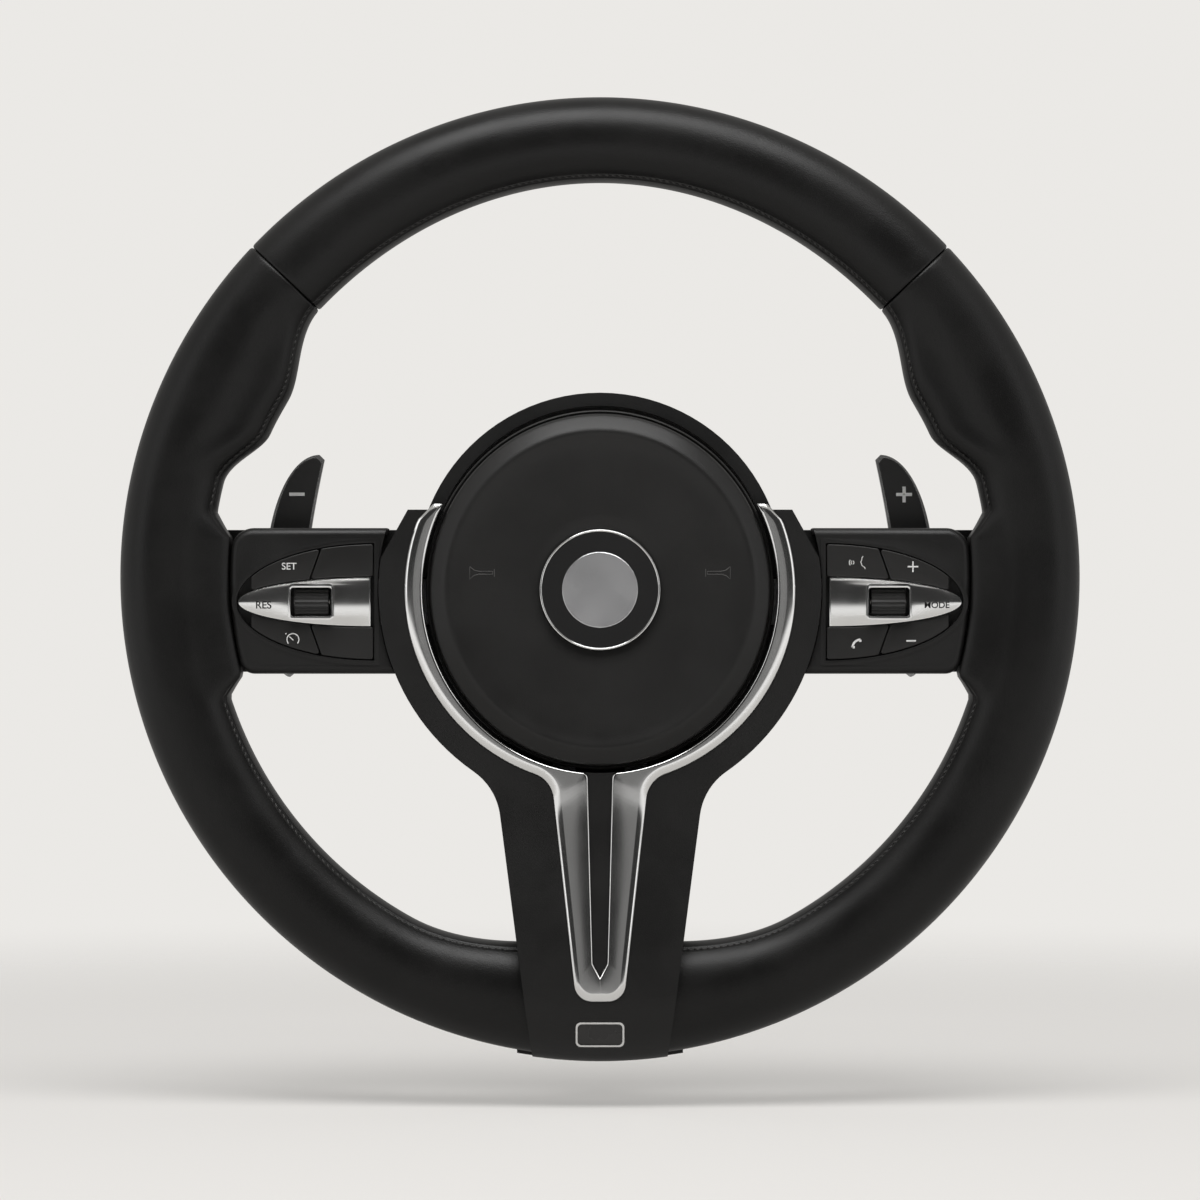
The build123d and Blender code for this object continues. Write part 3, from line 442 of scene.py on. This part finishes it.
def wrapLeather(name, start, end, node):
    rings = ringAngles(start, end)
    swings = rimSwings()

    def spot(ring, side):
        angle, inset = rings[ring]
        near = abs(swings[side] - rim["grooveSwing"]) / rim["grooveHalf"]
        sink = rim["grooveDepth"] * (1 - smooth(near, rim["grooveFloor"], 1.0))
        return rimPoint(angle, swings[side], inset + sink)

    piece = sweptTube(len(rings), len(swings), spot)
    finishPiece(piece, name, blackLeather, "wheel", smoothAngle=60)
    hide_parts(node, "rim_foam")


seam = rim["seamAngle"]
seamEdge = degreesFor(rim["seamHalfGap"], rim["radius"])
leatherSpans = {
    "leatherTop": (-seam + seamEdge, seam - seamEdge, "leather_top"),
    "leatherRight": (seam + seamEdge, 180.0, "leather_right"),
    "leatherLeft": (-180.0, -seam - seamEdge, "leather_left"),
}
for wrapName, span in leatherSpans.items():
    wrapLeather(wrapName, *span)
print("leather done")

# stitches along the inside of the rim
stitch = {
    "pitch": 2.5,
    "length": 2.3,
    "thick": 0.8,
    "flat": 0.8,
    "segments": 6,
    "rings": 5,
    "slant": 28.0,
    "sink": 0.25,
    "sunkIn": 0.4,
    "endGap": 0.6,  # the gaps at the seams and spokes are in degrees
    "rootGap": 0.6,
    "probe": (0.1, 1.0, 3.0),  # steps along, round and into the rim, to find which way it faces
}


def stitchShape():
    deselectAll()
    bpy.ops.mesh.primitive_uv_sphere_add(
        segments=stitch["segments"], ring_count=stitch["rings"], radius=stitch["thick"] / 2 * mm,
    )
    shape = bpy.context.object
    editAll(shape)
    longer = (stitch["flat"], 1.0, stitch["length"] / stitch["thick"])
    bpy.ops.transform.resize(value=longer, center_override=(0, 0, 0))
    bpy.ops.object.mode_set(mode="OBJECT")
    for vertex in shape.data.vertices:  # the ends dive into the hide
        vertex.co.x -= stitch["sink"] * mm * (2 * vertex.co.z / (stitch["length"] * mm)) ** 2
    return shape


def stitchPlace(angle):
    swing = rim["grooveSwing"]
    spot = rimPoint(angle, swing, stitch["sunkIn"])
    stepAlong, stepRound, stepIn = stitch["probe"]
    along = (rimPoint(angle + stepAlong, swing) - rimPoint(angle - stepAlong, swing)).normalized()
    inward = (rimPoint(angle, swing + stepRound) - rimPoint(angle, swing - stepRound)).normalized()
    slant = radians(stitch["slant"])
    run = along * cos(slant) + inward * sin(slant)
    out = inward.cross(along).normalized()
    if out.dot(spot - rimPoint(angle, swing, stepIn)) < 0:
        out = -out
    turned = Matrix((out, run.cross(out), run)).transposed().to_4x4()
    turned.translation = spot
    return turned


def sewSeam(name, shape, start, end):
    inner = rim["radius"] - rimWidth(90.0)  # at the side of the wheel
    count = int((end - start) / degreesFor(stitch["pitch"], inner))
    rootStart = spokeRoot["top"][0] - stitch["rootGap"]
    rootEnd = spokeRoot["bottom"][1] + stitch["rootGap"]
    copies = []
    for index in range(count):
        angle = start + (end - start) * (index + 0.5) / count
        if rootStart < abs(angle) < rootEnd:
            continue
        copy = shape.copy()
        copy.data = shape.data.copy()
        copy.matrix_world = stitchPlace(angle)
        bpy.context.scene.collection.objects.link(copy)
        copies.append(copy)
    deselectAll()
    for copy in copies:
        copy.select_set(True)
    bpy.context.view_layer.objects.active = copies[0]
    bpy.ops.object.join()
    finishPiece(bpy.context.object, name, threadBlack, "wheel", smoothAngle=80)


oneStitch = stitchShape()
for wrapName, (spanStart, spanEnd, spanNode) in leatherSpans.items():
    seamName = wrapName.replace("leather", "stitches")
    sewSeam(seamName, oneStitch, spanStart + stitch["endGap"], spanEnd - stitch["endGap"])
bpy.data.objects.remove(oneStitch)
print("stitches done")

# soft cover of the airbag with its raised shoulder and shallow dish
pad = {
    "middle": -5.0,
    "halfWidth": 66.9,
    "halfHeight": 69.1,
    "around": 192,
    "back": 48.0,
    "side": 56.9,
    "profile": (  # way in from the rim of the cover, height
        (0.2, 57.3), (0.5, 57.5), (0.8, 57.4), (1.05, 57.1), (1.25, 57.0), (1.4, 57.6), (1.5, 59.2),
        (1.65, 60.2), (2.0, 60.85), (2.6, 61.4), (3.4, 62.0), (4.2, 62.6), (5.0, 63.18), (5.8, 63.74),
        (6.6, 64.26), (7.3, 64.64), (7.9, 64.87), (8.5, 64.96), (9.1, 64.93), (9.7, 64.82), (10.4, 64.66),
        (11.2, 64.48), (12.2, 64.27), (13.4, 64.08), (15.0, 63.9), (17.0, 63.76), (19.5, 63.65),
        (24.0, 63.48), (29.5, 63.27), (35.0, 63.08), (39.5, 62.96), (43.2, 62.92),
    ),
    "wall": 5.4,
    "hollow": 60.0,
    "badgeRadius": 23.15,
    "badgeEdge": ((0.15, 62.85), (0.3, 62.7)),
    "badgeFloor": 62.3,
}


def extrudeAhead(start, end):
    bpy.ops.mesh.extrude_region_move(TRANSFORM_OT_translate={"value": (0, (start - end) * mm, 0)})


def insetAlong(steps, ahead):
    inset = 0.0
    for nextInset, nextAhead in steps:
        bpy.ops.mesh.inset(thickness=(nextInset - inset) * mm, depth=0)
        bpy.ops.transform.translate(value=(0, (ahead - nextAhead) * mm, 0))
        inset, ahead = nextInset, nextAhead
    return inset, ahead


def coverPad():
    deselectAll()
    middle = place(0, pad["back"], pad["middle"])
    bpy.ops.mesh.primitive_circle_add(
        vertices=pad["around"], radius=pad["halfWidth"] * mm, fill_type="NGON",
        location=middle, rotation=(pi / 2, 0, 0),
    )
    piece = bpy.context.object
    applyPlace()
    editAll(piece, "FACE")
    taller = (1, 1, pad["halfHeight"] / pad["halfWidth"])
    bpy.ops.transform.resize(value=taller, center_override=middle)
    extrudeAhead(pad["back"], pad["side"])
    inset, ahead = insetAlong(pad["profile"], pad["side"])
    wide, tall = pad["halfWidth"] - inset, pad["halfHeight"] - inset
    rounder = (pad["badgeRadius"] / wide, 1, pad["badgeRadius"] / tall)
    bpy.ops.transform.resize(value=rounder, center_override=place(0, ahead, pad["middle"]))
    ahead = insetAlong(pad["badgeEdge"], ahead)[1]
    extrudeAhead(ahead, pad["badgeFloor"])

    def atBack(face):
        return face.normal.y > picking["square"] and abs(face.center.y - middle.y) < picking["near"] * mm

    pick(piece, "polygons", atBack)
    bpy.ops.mesh.inset(thickness=pad["wall"] * mm, depth=0)
    extrudeAhead(pad["back"], pad["hollow"])
    outward(piece)
    finishPiece(piece, "softCover", softPad, "airbag_module", smoothAngle=35)
    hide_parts("airbag_cover")


coverPad()
print("cover done")

# bright ring round the badge
badgeRing = {"radius": 22.7, "half": 0.45, "ahead": 64.75, "sides": 12, "around": 180}


def spinBadgeRing():
    deselectAll()
    spot = place(badgeRing["radius"], badgeRing["ahead"], pad["middle"])
    half = badgeRing["half"] * mm
    bpy.ops.mesh.primitive_circle_add(vertices=badgeRing["sides"], radius=half, location=spot)
    piece = bpy.context.object
    applyPlace()
    editAll(piece)
    middle = place(0, 0, pad["middle"])
    bpy.ops.mesh.spin(steps=badgeRing["around"], angle=2 * pi, center=middle, axis=(0, 1, 0))
    outward(piece)
    finishPiece(piece, "badgeRing", brightChrome, "airbag_module", smoothAngle=60)


spinBadgeRing()
print("badge ring done")

# printed marks on the keys, blades, paddles and cover
ink = {"rise": 0.06, "thick": 0.1, "wordThick": 0.03, "wordSwell": 0.035, "capShare": 0.7, "arcSteps": 14}
markFaces = {  # slot and height of the face that a mark lies on
    "key": ("key_black", 58.6),
    "blade": ("satin_silver", 60.0),
    "paddle": ("paddle_face", 22.4),
    "airbag": ("soft_black", 63.6),
}


def meshOf(piece):
    only(piece)
    bpy.ops.object.convert(target="MESH")
    return bpy.context.object


def layMark(piece, name, material, body, x, z, lean=0.0):
    slot, ahead = markFaces[body.split("_")[0]]
    only(piece)
    bpy.ops.object.origin_set(type="ORIGIN_GEOMETRY", center="BOUNDS")
    piece.location = place(x, ahead + ink["rise"], z)
    piece.rotation_euler = (pi / 2, 0, lean)
    finishPiece(piece, name, material, body, smoothAngle=30)


def wordMark(name, word, height, *spot):
    deselectAll()
    bpy.ops.object.text_add()
    text = bpy.context.object
    text.data.body = word
    text.data.size = height / ink["capShare"] * mm
    text.data.extrude = ink["wordThick"] * mm
    text.data.offset = ink["wordSwell"] * mm
    layMark(meshOf(text), name, *spot)


def strokeMark(name, strokes, width, *spot):  # strokes are runs of points
    deselectAll()
    curve = bpy.data.curves.new(name, "CURVE")
    curve.dimensions = "3D"
    curve.bevel_depth = width / 2 * mm
    curve.bevel_resolution = 1
    curve.use_fill_caps = True
    for points in strokes:
        line = curve.splines.new("POLY")
        line.points.add(len(points) - 1)
        for point, (right, up) in zip(line.points, points):
            point.co = (right * mm, up * mm, 0, 1)
    piece = bpy.data.objects.new(name, curve)
    bpy.context.scene.collection.objects.link(piece)
    piece = meshOf(piece)
    editAll(piece)
    bpy.ops.transform.resize(value=(1, 1, ink["thick"] / width), center_override=(0, 0, 0))
    bpy.ops.object.mode_set(mode="OBJECT")
    layMark(piece, name, *spot)


def arc(middleX, middleY, radius, start, end, count=ink["arcSteps"]):
    turns = [radians(start + (end - start) * index / count) for index in range(count + 1)]
    return [(middleX + radius * cos(turn), middleY + radius * sin(turn)) for turn in turns]


def minus(half):
    return [[(-half, 0), (half, 0)]]


def plus(half):
    return minus(half) + [[(0, -half), (0, half)]]


words = {  # word, height, ink, body, place across and up
    "setMark": ("SET", 2.6, paleInk, "key_left_top_outer", -119.4, 4.1),
    "resMark": ("RES", 2.8, darkInk, "blade_left", -129.1, -10.8),
    "modeMark": ("MODE", 2.4, darkInk, "blade_right", 129.4, -10.8),
}
for markName, wording in words.items():
    wordMark(markName, *wording)

dialStrokes = [arc(0, 0, 2.3, -40, 220), [(0.2, -0.3), (-1.3, 1.1)], [(-2.85, 2.1), (-2.5, 2.45)]]
voiceStrokes = [
    arc(-1.6, 0, 1.45, 135, 225),
    arc(-1.6, 0, 0.75, 125, 235),
    arc(-2.0, 0, 0.75, -60, 60),
    [
        (2.3, 2.5), (1.85, 1.8), (1.75, 0.9), (1.35, 0.2), (1.65, -0.3), (1.75, -1.0), (2.3, -1.5),
        (2.9, -1.8), (3.1, -2.5),
    ],
]
handsetStrokes = [
    arc(1.9, -1.9, 3.1, 92, 178),
    [(-1.2, -1.75), (-0.35, -1.75)],
    [(1.75, 1.2), (1.75, 0.35)],
]
hornStrokes = [
    [
        (-4.7, 2.4), (-4.7, -2.4), (-3.0, -1.0), (-1.2, -0.55), (4.1, -0.55), (4.1, 0.55), (-1.2, 0.55),
        (-3.0, 1.0), (-4.7, 2.4),
    ],
    [(4.7, 1.5), (4.7, -1.5)],
]
mirroredHorn = [[(-right, up) for right, up in points] for points in hornStrokes]
signs = {  # strokes, width, ink, body, place across and up, lean
    "cruiseMark": (dialStrokes, 0.42, paleInk, "key_left_bottom_outer", -118.2, -23.6),
    "voiceMark": (voiceStrokes, 0.3, paleInk, "key_right_top_inner", 98.8, 5.5),
    "louderMark": (plus(2.05), 0.55, paleInk, "key_right_top_outer", 120.2, 3.9),
    "handsetMark": (handsetStrokes, 0.85, paleInk, "key_right_bottom_inner", 98.5, -25.6),
    "quieterMark": (minus(1.85), 0.6, paleInk, "key_right_bottom_outer", 119.5, -24.6),
    "paddlePlus": (plus(3.1), 1.3, paleInk, "paddle_right", 119.0, 32.4),
    "paddleMinus": (minus(3.0), 1.3, paleInk, "paddle_left", -118.6, 32.5),
    "hornMarkLeft": (hornStrokes, 0.3, faintInk, "airbag_module", -45.2, 1.5, 0.03),
    "hornMarkRight": (mirroredHorn, 0.3, faintInk, "airbag_module", 45.2, 1.5, -0.03),
}
for markName, sign in signs.items():
    strokeMark(markName, *sign)
print("marks done")

# trim under the pad, two arms that run down into the lower spoke, with a broad outer and a thin inner roll
trim = {
    "inner": (68.1, 70.3),  # half width and half height of the oval
    "outer": 75.1,
    "tip": (60.18, 64.2, 27.9),  # inner edge, outer edge, height
    "armTurn": (20.97, -70.39),  # angles
    "ovalTurn": (27.9, -70.39, -84.3),
    "legTurn": (28.90, -86.10, 11.0, 109.6, 173.6),  # centre across and up, radius, angles
    "endTurn": (3.04, -155.5, 7.0, -6.4, -90.0),
    "mouthTurn": (7.04, -77.44, 2.5, 95.9, 178.5),
    "slot": ((2.7, -147.8), (0.0, -153.3)),
    "end": -162.5,
    "counts": (64, 26, 44, 16),
    "armSteps": 60,
    "turnSteps": 24,
    "face": 61.2,
    "rise": 8.4,
    "riseFrom": 88.0,
    "riseTo": 162.5,
    "deep": 3.0,
    "innerRoll": ((0.0, 0.8), (0.12, 0.52), (0.34, 0.28), (0.62, 0.11), (0.95, 0.02), (1.15, 0.0)),
    "outerRoll": (  # way in from the edge, drop
        (3.35, 0.0), (3.2, 0.0), (2.7, 0.03), (2.2, 0.09), (1.7, 0.19), (1.25, 0.32), (0.8, 0.5),
        (0.4, 0.74), (0.15, 0.95), (0.0, 1.2),
    ),
    "tipRoll": 0.8,
}


def ovalArc(start, end):
    wide, tall = trim["inner"]
    turns = arc(0, 0, 1, start, end, trim["armSteps"])
    return [(wide * right, pad["middle"] + tall * up) for right, up in turns]


def evenly(points, count):  # the same line in even steps, without its last point
    reach = [0.0]
    for (x, z), (nextX, nextZ) in zip(points, points[1:]):
        reach.append(reach[-1] + hypot(nextX - x, nextZ - z))
    spots, leg = [], 0
    for index in range(count):
        goal = reach[-1] * index / count
        while reach[leg + 1] < goal:
            leg += 1
        part = (goal - reach[leg]) / (reach[leg + 1] - reach[leg])
        (x, z), (nextX, nextZ) = points[leg], points[leg + 1]
        spots.append((x + (nextX - x) * part, z + (nextZ - z) * part))
    return spots


def trimLines():  # matching points on the inner and outer edge, from the right tip to the foot
    tipInner, tipOuter, tipHeight = trim["tip"]
    ovalStart, ovalBend, ovalEnd = trim["ovalTurn"]
    turnNames = ("legTurn", "endTurn", "mouthTurn")
    legArc, endArc, mouthArc = (arc(*trim[name], trim["turnSteps"]) for name in turnNames)
    armArc = arc(0, pad["middle"], trim["outer"], *trim["armTurn"], trim["armSteps"])
    foot = (0.0, trim["end"])
    inner = [
        [(tipInner, tipHeight)] + ovalArc(ovalStart, ovalBend)[1:],
        ovalArc(ovalBend, ovalEnd) + mouthArc,
        [mouthArc[-1], trim["slot"][0]],
        list(trim["slot"]),
    ]
    outer = [
        [(tipOuter, tipHeight)] + armArc,
        legArc,
        [legArc[-1], endArc[0]],
        endArc + [foot],
    ]
    innerLine, outerLine = [], []
    for innerPart, outerPart, count in zip(inner, outer, trim["counts"]):
        innerLine += evenly(innerPart, count)
        outerLine += evenly(outerPart, count)
    return innerLine + [trim["slot"][1]], outerLine + [foot]


def rollTrim():
    innerLine, outerLine = trimLines()
    half = len(innerLine) - 1
    section = [("inner", 0.0, trim["deep"])] + [("inner", *spot) for spot in trim["innerRoll"]]
    section += [("outer", *spot) for spot in trim["outerRoll"]] + [("outer", 0.0, trim["deep"])]

    def spot(ring, side):
        index = half - abs(ring - half)
        mirror = -1 if ring < half else 1
        (x, z), (farX, farZ) = innerLine[index], outerLine[index]
        edge, inset, drop = section[side]
        part = inset / hypot(farX - x, farZ - z)
        part = part if edge == "inner" else 1 - part
        x, z = x + (farX - x) * part, z + (farZ - z) * part
        ahead = trim["face"] + trim["rise"] * smooth(hypot(x, z), trim["riseFrom"], trim["riseTo"])
        tip = trim["tipRoll"] if index == 0 else 0.0
        return place(mirror * x, ahead - max(drop, tip), z)

    piece = sweptTube(2 * half + 1, len(section), spot)
    finishPiece(piece, "chromeTrim", brightChrome, "wheel", smoothAngle=35)
    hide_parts("chrome_trim")


rollTrim()
print("trim done")

# rolled edges on the small moulded and plated pieces
softEdge = {
    "angle": 40.0,
    "rounds": 2,
    "blade": 0.28,
    "key": 0.45,
    "housing": 0.35,
    "frameNear": (8.3, 6.5),  # the frame's corners lie between these, from the roller's middle
    "frameFar": (9.2, 7.4),
    "frameCorner": 2.2,
    "frameRounds": 5,
}
sides, rows, spots = ("left", "right"), ("top", "bottom"), ("inner", "outer")
keyNames = ["key_%s_%s_%s" % (side, row, spot) for side in sides for row in rows for spot in spots]


def copyOf(node):
    piece = bpy.data.objects.new(node, nodes[node].data.copy())
    bpy.context.scene.collection.objects.link(piece)
    editAll(piece)
    bpy.ops.mesh.remove_doubles(threshold=weld["cad"] * mm)
    bpy.ops.mesh.dissolve_limited(angle_limit=radians(weld["flatAngle"]))
    bpy.ops.object.mode_set(mode="OBJECT")
    return piece


def middleOf(node):
    corners = nodes[node].bound_box
    middle = [sum(values) / len(corners) for values in zip(*corners)]
    return middle[0], middle[2]


def roundFrame(piece, roller):  # the upright corners of the raised frame round the roller
    middleX, middleZ = middleOf(roller)
    nearX, nearZ = softEdge["frameNear"]
    farX, farZ = softEdge["frameFar"]
    points = [vertex.co.copy() for vertex in piece.data.vertices]

    def upright(edge):
        first, second = (points[index] for index in edge.vertices)
        across, tall = abs(first.x - middleX) / mm, abs(first.z - middleZ) / mm
        straight = hypot(first.x - second.x, first.z - second.z) < picking["plumb"] * mm
        return straight and nearX < across < farX and nearZ < tall < farZ

    pick(piece, "edges", upright)
    corner = softEdge["frameCorner"] * mm
    bpy.ops.mesh.bevel(offset=corner, segments=softEdge["frameRounds"], affect="EDGES")
    bpy.ops.object.mode_set(mode="OBJECT")


def rollEdges(node, name, width, material, body, roller=None):
    piece = copyOf(node)
    if roller:
        roundFrame(piece, roller)
    only(piece)
    bevel = piece.modifiers.new("edges", "BEVEL")
    bevel.width = width * mm
    bevel.segments = softEdge["rounds"]
    bevel.limit_method = "ANGLE"
    bevel.angle_limit = radians(softEdge["angle"])
    bpy.ops.object.modifier_apply(modifier="edges")
    finishPiece(piece, name, material, body, smoothAngle=35)
    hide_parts(node)


for side in sides:
    blade, housing, roller = "blade_" + side, "switch_housing_" + side, "roller_" + side
    bladeName, housingName = "rolledBlade" + side.title(), "rolledHousing" + side.title()
    rollEdges(blade, bladeName, softEdge["blade"], satinSilver, blade, roller)
    rollEdges(housing, housingName, softEdge["housing"], grainedBlack, "wheel")
for keyName in keyNames:
    rollEdges(keyName, "rolled_" + keyName, softEdge["key"], keyBlack, keyName)
print("edges done")


def coilSprings():  # the horn springs between the wheel and the airbag; on the real wheel they close up as the horn is pushed, but this copy stays as modelled
    piece = copyOf("horn_springs")
    finishPiece(piece, "hornSprings", bareSteel, None, smoothAngle=35)
    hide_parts("horn_springs")
    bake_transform(piece)


coilSprings()
print("springs done")

# camera, light, floor and card; sizes of the floor, card and lamps are in metres
studio = {
    "frameWidth": 463.0,
    "lens": 150.0,
    "sensor": 36.0,
    "aimHeight": -8.9,
    "paper": (0.83, 0.815, 0.79),
    "ambient": 0.34,
    "mirrored": 0.55,
    "boxTarget": (0.0, -0.05, 0.0),
}


def addCamera():
    distance = studio["frameWidth"] * studio["lens"] / studio["sensor"]
    spot = place(0, rim["ahead"] + distance, studio["aimHeight"])
    bpy.ops.object.camera_add(location=spot, rotation=(pi / 2, 0, 0))
    camera = bpy.context.object
    camera.data.lens = studio["lens"]
    camera.data.sensor_width = studio["sensor"]
    bpy.context.scene.camera = camera


softboxes = {  # place, width, height, watts
    "topBox": ((0.0, -0.75, 1.45), 1.5, 0.9, 25.0),
    "leftBox": ((-1.5, -0.9, 0.5), 0.35, 1.2, 1.2),
    "rightBox": ((1.5, -0.9, 0.5), 0.35, 1.2, 1.2),
}


def addSoftbox(name, spot, width, height, power):
    bpy.ops.object.light_add(type="AREA", location=spot)
    lamp = bpy.context.object
    lamp.name = name
    lamp.data.shape = "RECTANGLE"
    lamp.data.size = width
    lamp.data.size_y = height
    lamp.data.energy = power
    lamp.rotation_euler = (Vector(studio["boxTarget"]) - Vector(spot)).to_track_quat("-Z", "Y").to_euler()


def clearTree(owner):  # owner is a world or a material
    owner.use_nodes = True
    owner.node_tree.nodes.clear()
    return owner.node_tree


def addWorld():
    world = bpy.data.worlds.new("paleStudio")
    bpy.context.scene.world = world
    tree = clearTree(world)
    path = tree.nodes.new("ShaderNodeLightPath")
    seen = maths(tree, "MAXIMUM", path.outputs["Is Camera Ray"], path.outputs["Is Transmission Ray"])
    seen = maths(tree, "MULTIPLY", seen, 1.0 - studio["ambient"])
    extra = studio["mirrored"] - studio["ambient"]
    mirrored = maths(tree, "MULTIPLY", path.outputs["Is Glossy Ray"], extra)
    strength = maths(tree, "ADD", maths(tree, "ADD", seen, mirrored), studio["ambient"])
    paper = addNode(tree, "Background", {"Color": (*studio["paper"], 1.0), "Strength": strength})
    out = tree.nodes.new("ShaderNodeOutputWorld")
    tree.links.new(paper.outputs[0], out.inputs[0])


paperFloor = {
    "height": -204.0 * mm,
    "size": 6.0,
    "parts": 8,
    "seen": 0.44,
    "mirrored": 0.25,
    "matt": (0.45, 0.44, 0.428),
    "fade": (0.35, 1.1),
}


def addFloor():  # pale paper that keeps the shadow and fades into the background
    parts, spot = paperFloor["parts"], (0, 0, paperFloor["height"])
    bpy.ops.mesh.primitive_grid_add(
        x_subdivisions=parts, y_subdivisions=parts, size=paperFloor["size"], location=spot,
    )
    floor = bpy.context.object
    floor.name = "paperFloor"
    material = bpy.data.materials.new("paperFloor")
    tree = clearTree(material)
    path = tree.nodes.new("ShaderNodeLightPath")
    seen = maths(tree, "MULTIPLY", path.outputs["Is Camera Ray"], paperFloor["seen"])
    mirrored = maths(tree, "MULTIPLY", path.outputs["Is Glossy Ray"], paperFloor["mirrored"])
    strength = maths(tree, "ADD", seen, mirrored)
    glow = addNode(tree, "Emission", {"Color": (*studio["paper"], 1.0), "Strength": strength})
    matt = addNode(tree, "BsdfDiffuse", {"Color": (*paperFloor["matt"], 1.0)})
    both = addNode(tree, "AddShader", {0: glow.outputs[0], 1: matt.outputs[0]})
    coords = tree.nodes.new("ShaderNodeTexCoord")
    reach = addNode(tree, "VectorMath", {0: coords.outputs["Object"]}, operation="LENGTH")
    clear = tree.nodes.new("ShaderNodeBsdfTransparent")
    fade = spread(tree, reach.outputs["Value"], *paperFloor["fade"], 0.0, 1.0)
    mixed = addNode(tree, "MixShader", {0: fade, 1: both.outputs[0], 2: clear.outputs[0]})
    out = tree.nodes.new("ShaderNodeOutputMaterial")
    tree.links.new(mixed.outputs[0], out.inputs[0])
    floor.data.materials.append(material)


card = {
    "radius": 3.2,
    "sides": 64,
    "tall": 4.2,
    "open": 0.9,
    "low": -0.33,  # between these two heights it goes from bright to dark
    "high": -0.15,
    "bright": 1.0,
    "dark": 0.035,
    "strip": 0.21,  # a grey strip up the middle of the dark half
    "stripEdge": (0.20, 0.25),
    "side": 0.6,  # light again at both ends
    "sideEdge": (2.1, 2.6),
    "colour": (1.0, 0.99, 0.98),
}


def addGreyCard():  # a curved card round the front that only reflections see
    bpy.ops.mesh.primitive_cylinder_add(
        vertices=card["sides"], radius=card["radius"], depth=card["tall"], end_fill_type="NOTHING",
        location=(0, 0, 0),
    )
    piece = bpy.context.object
    piece.name = "greyCard"
    pick(piece, "polygons", lambda face: face.center.y > card["open"])
    bpy.ops.mesh.delete(type="FACE")
    bpy.ops.object.mode_set(mode="OBJECT")
    material = bpy.data.materials.new("greyCard")
    tree = clearTree(material)
    coords = tree.nodes.new("ShaderNodeTexCoord")
    split = addNode(tree, "SeparateXYZ", {0: coords.outputs["Object"]})
    aside = maths(tree, "ABSOLUTE", split.outputs["X"], 0.0)
    upper = spread(tree, aside, *card["stripEdge"], card["strip"], card["dark"])
    upper = maths(tree, "ADD", upper, spread(tree, aside, *card["sideEdge"], 0.0, card["side"]))
    below = spread(tree, split.outputs["Z"], card["low"], card["high"], 1.0, 0.0)
    shade = addNode(tree, "Mix", {0: below, 2: upper, 3: card["bright"]}, data_type="FLOAT").outputs[0]
    glow = addNode(tree, "Emission", {"Color": (*card["colour"], 1.0), "Strength": shade})
    out = tree.nodes.new("ShaderNodeOutputMaterial")
    tree.links.new(glow.outputs[0], out.inputs[0])
    piece.data.materials.append(material)
    piece.visible_camera = False
    piece.visible_diffuse = False
    piece.visible_shadow = False
    piece.visible_transmission = False


deselectAll()
bpy.context.scene.view_settings.view_transform = "Standard"
addCamera()
addWorld()
addFloor()
addGreyCard()
for boxName, box in softboxes.items():
    addSoftbox(boxName, *box)
print("studio done")
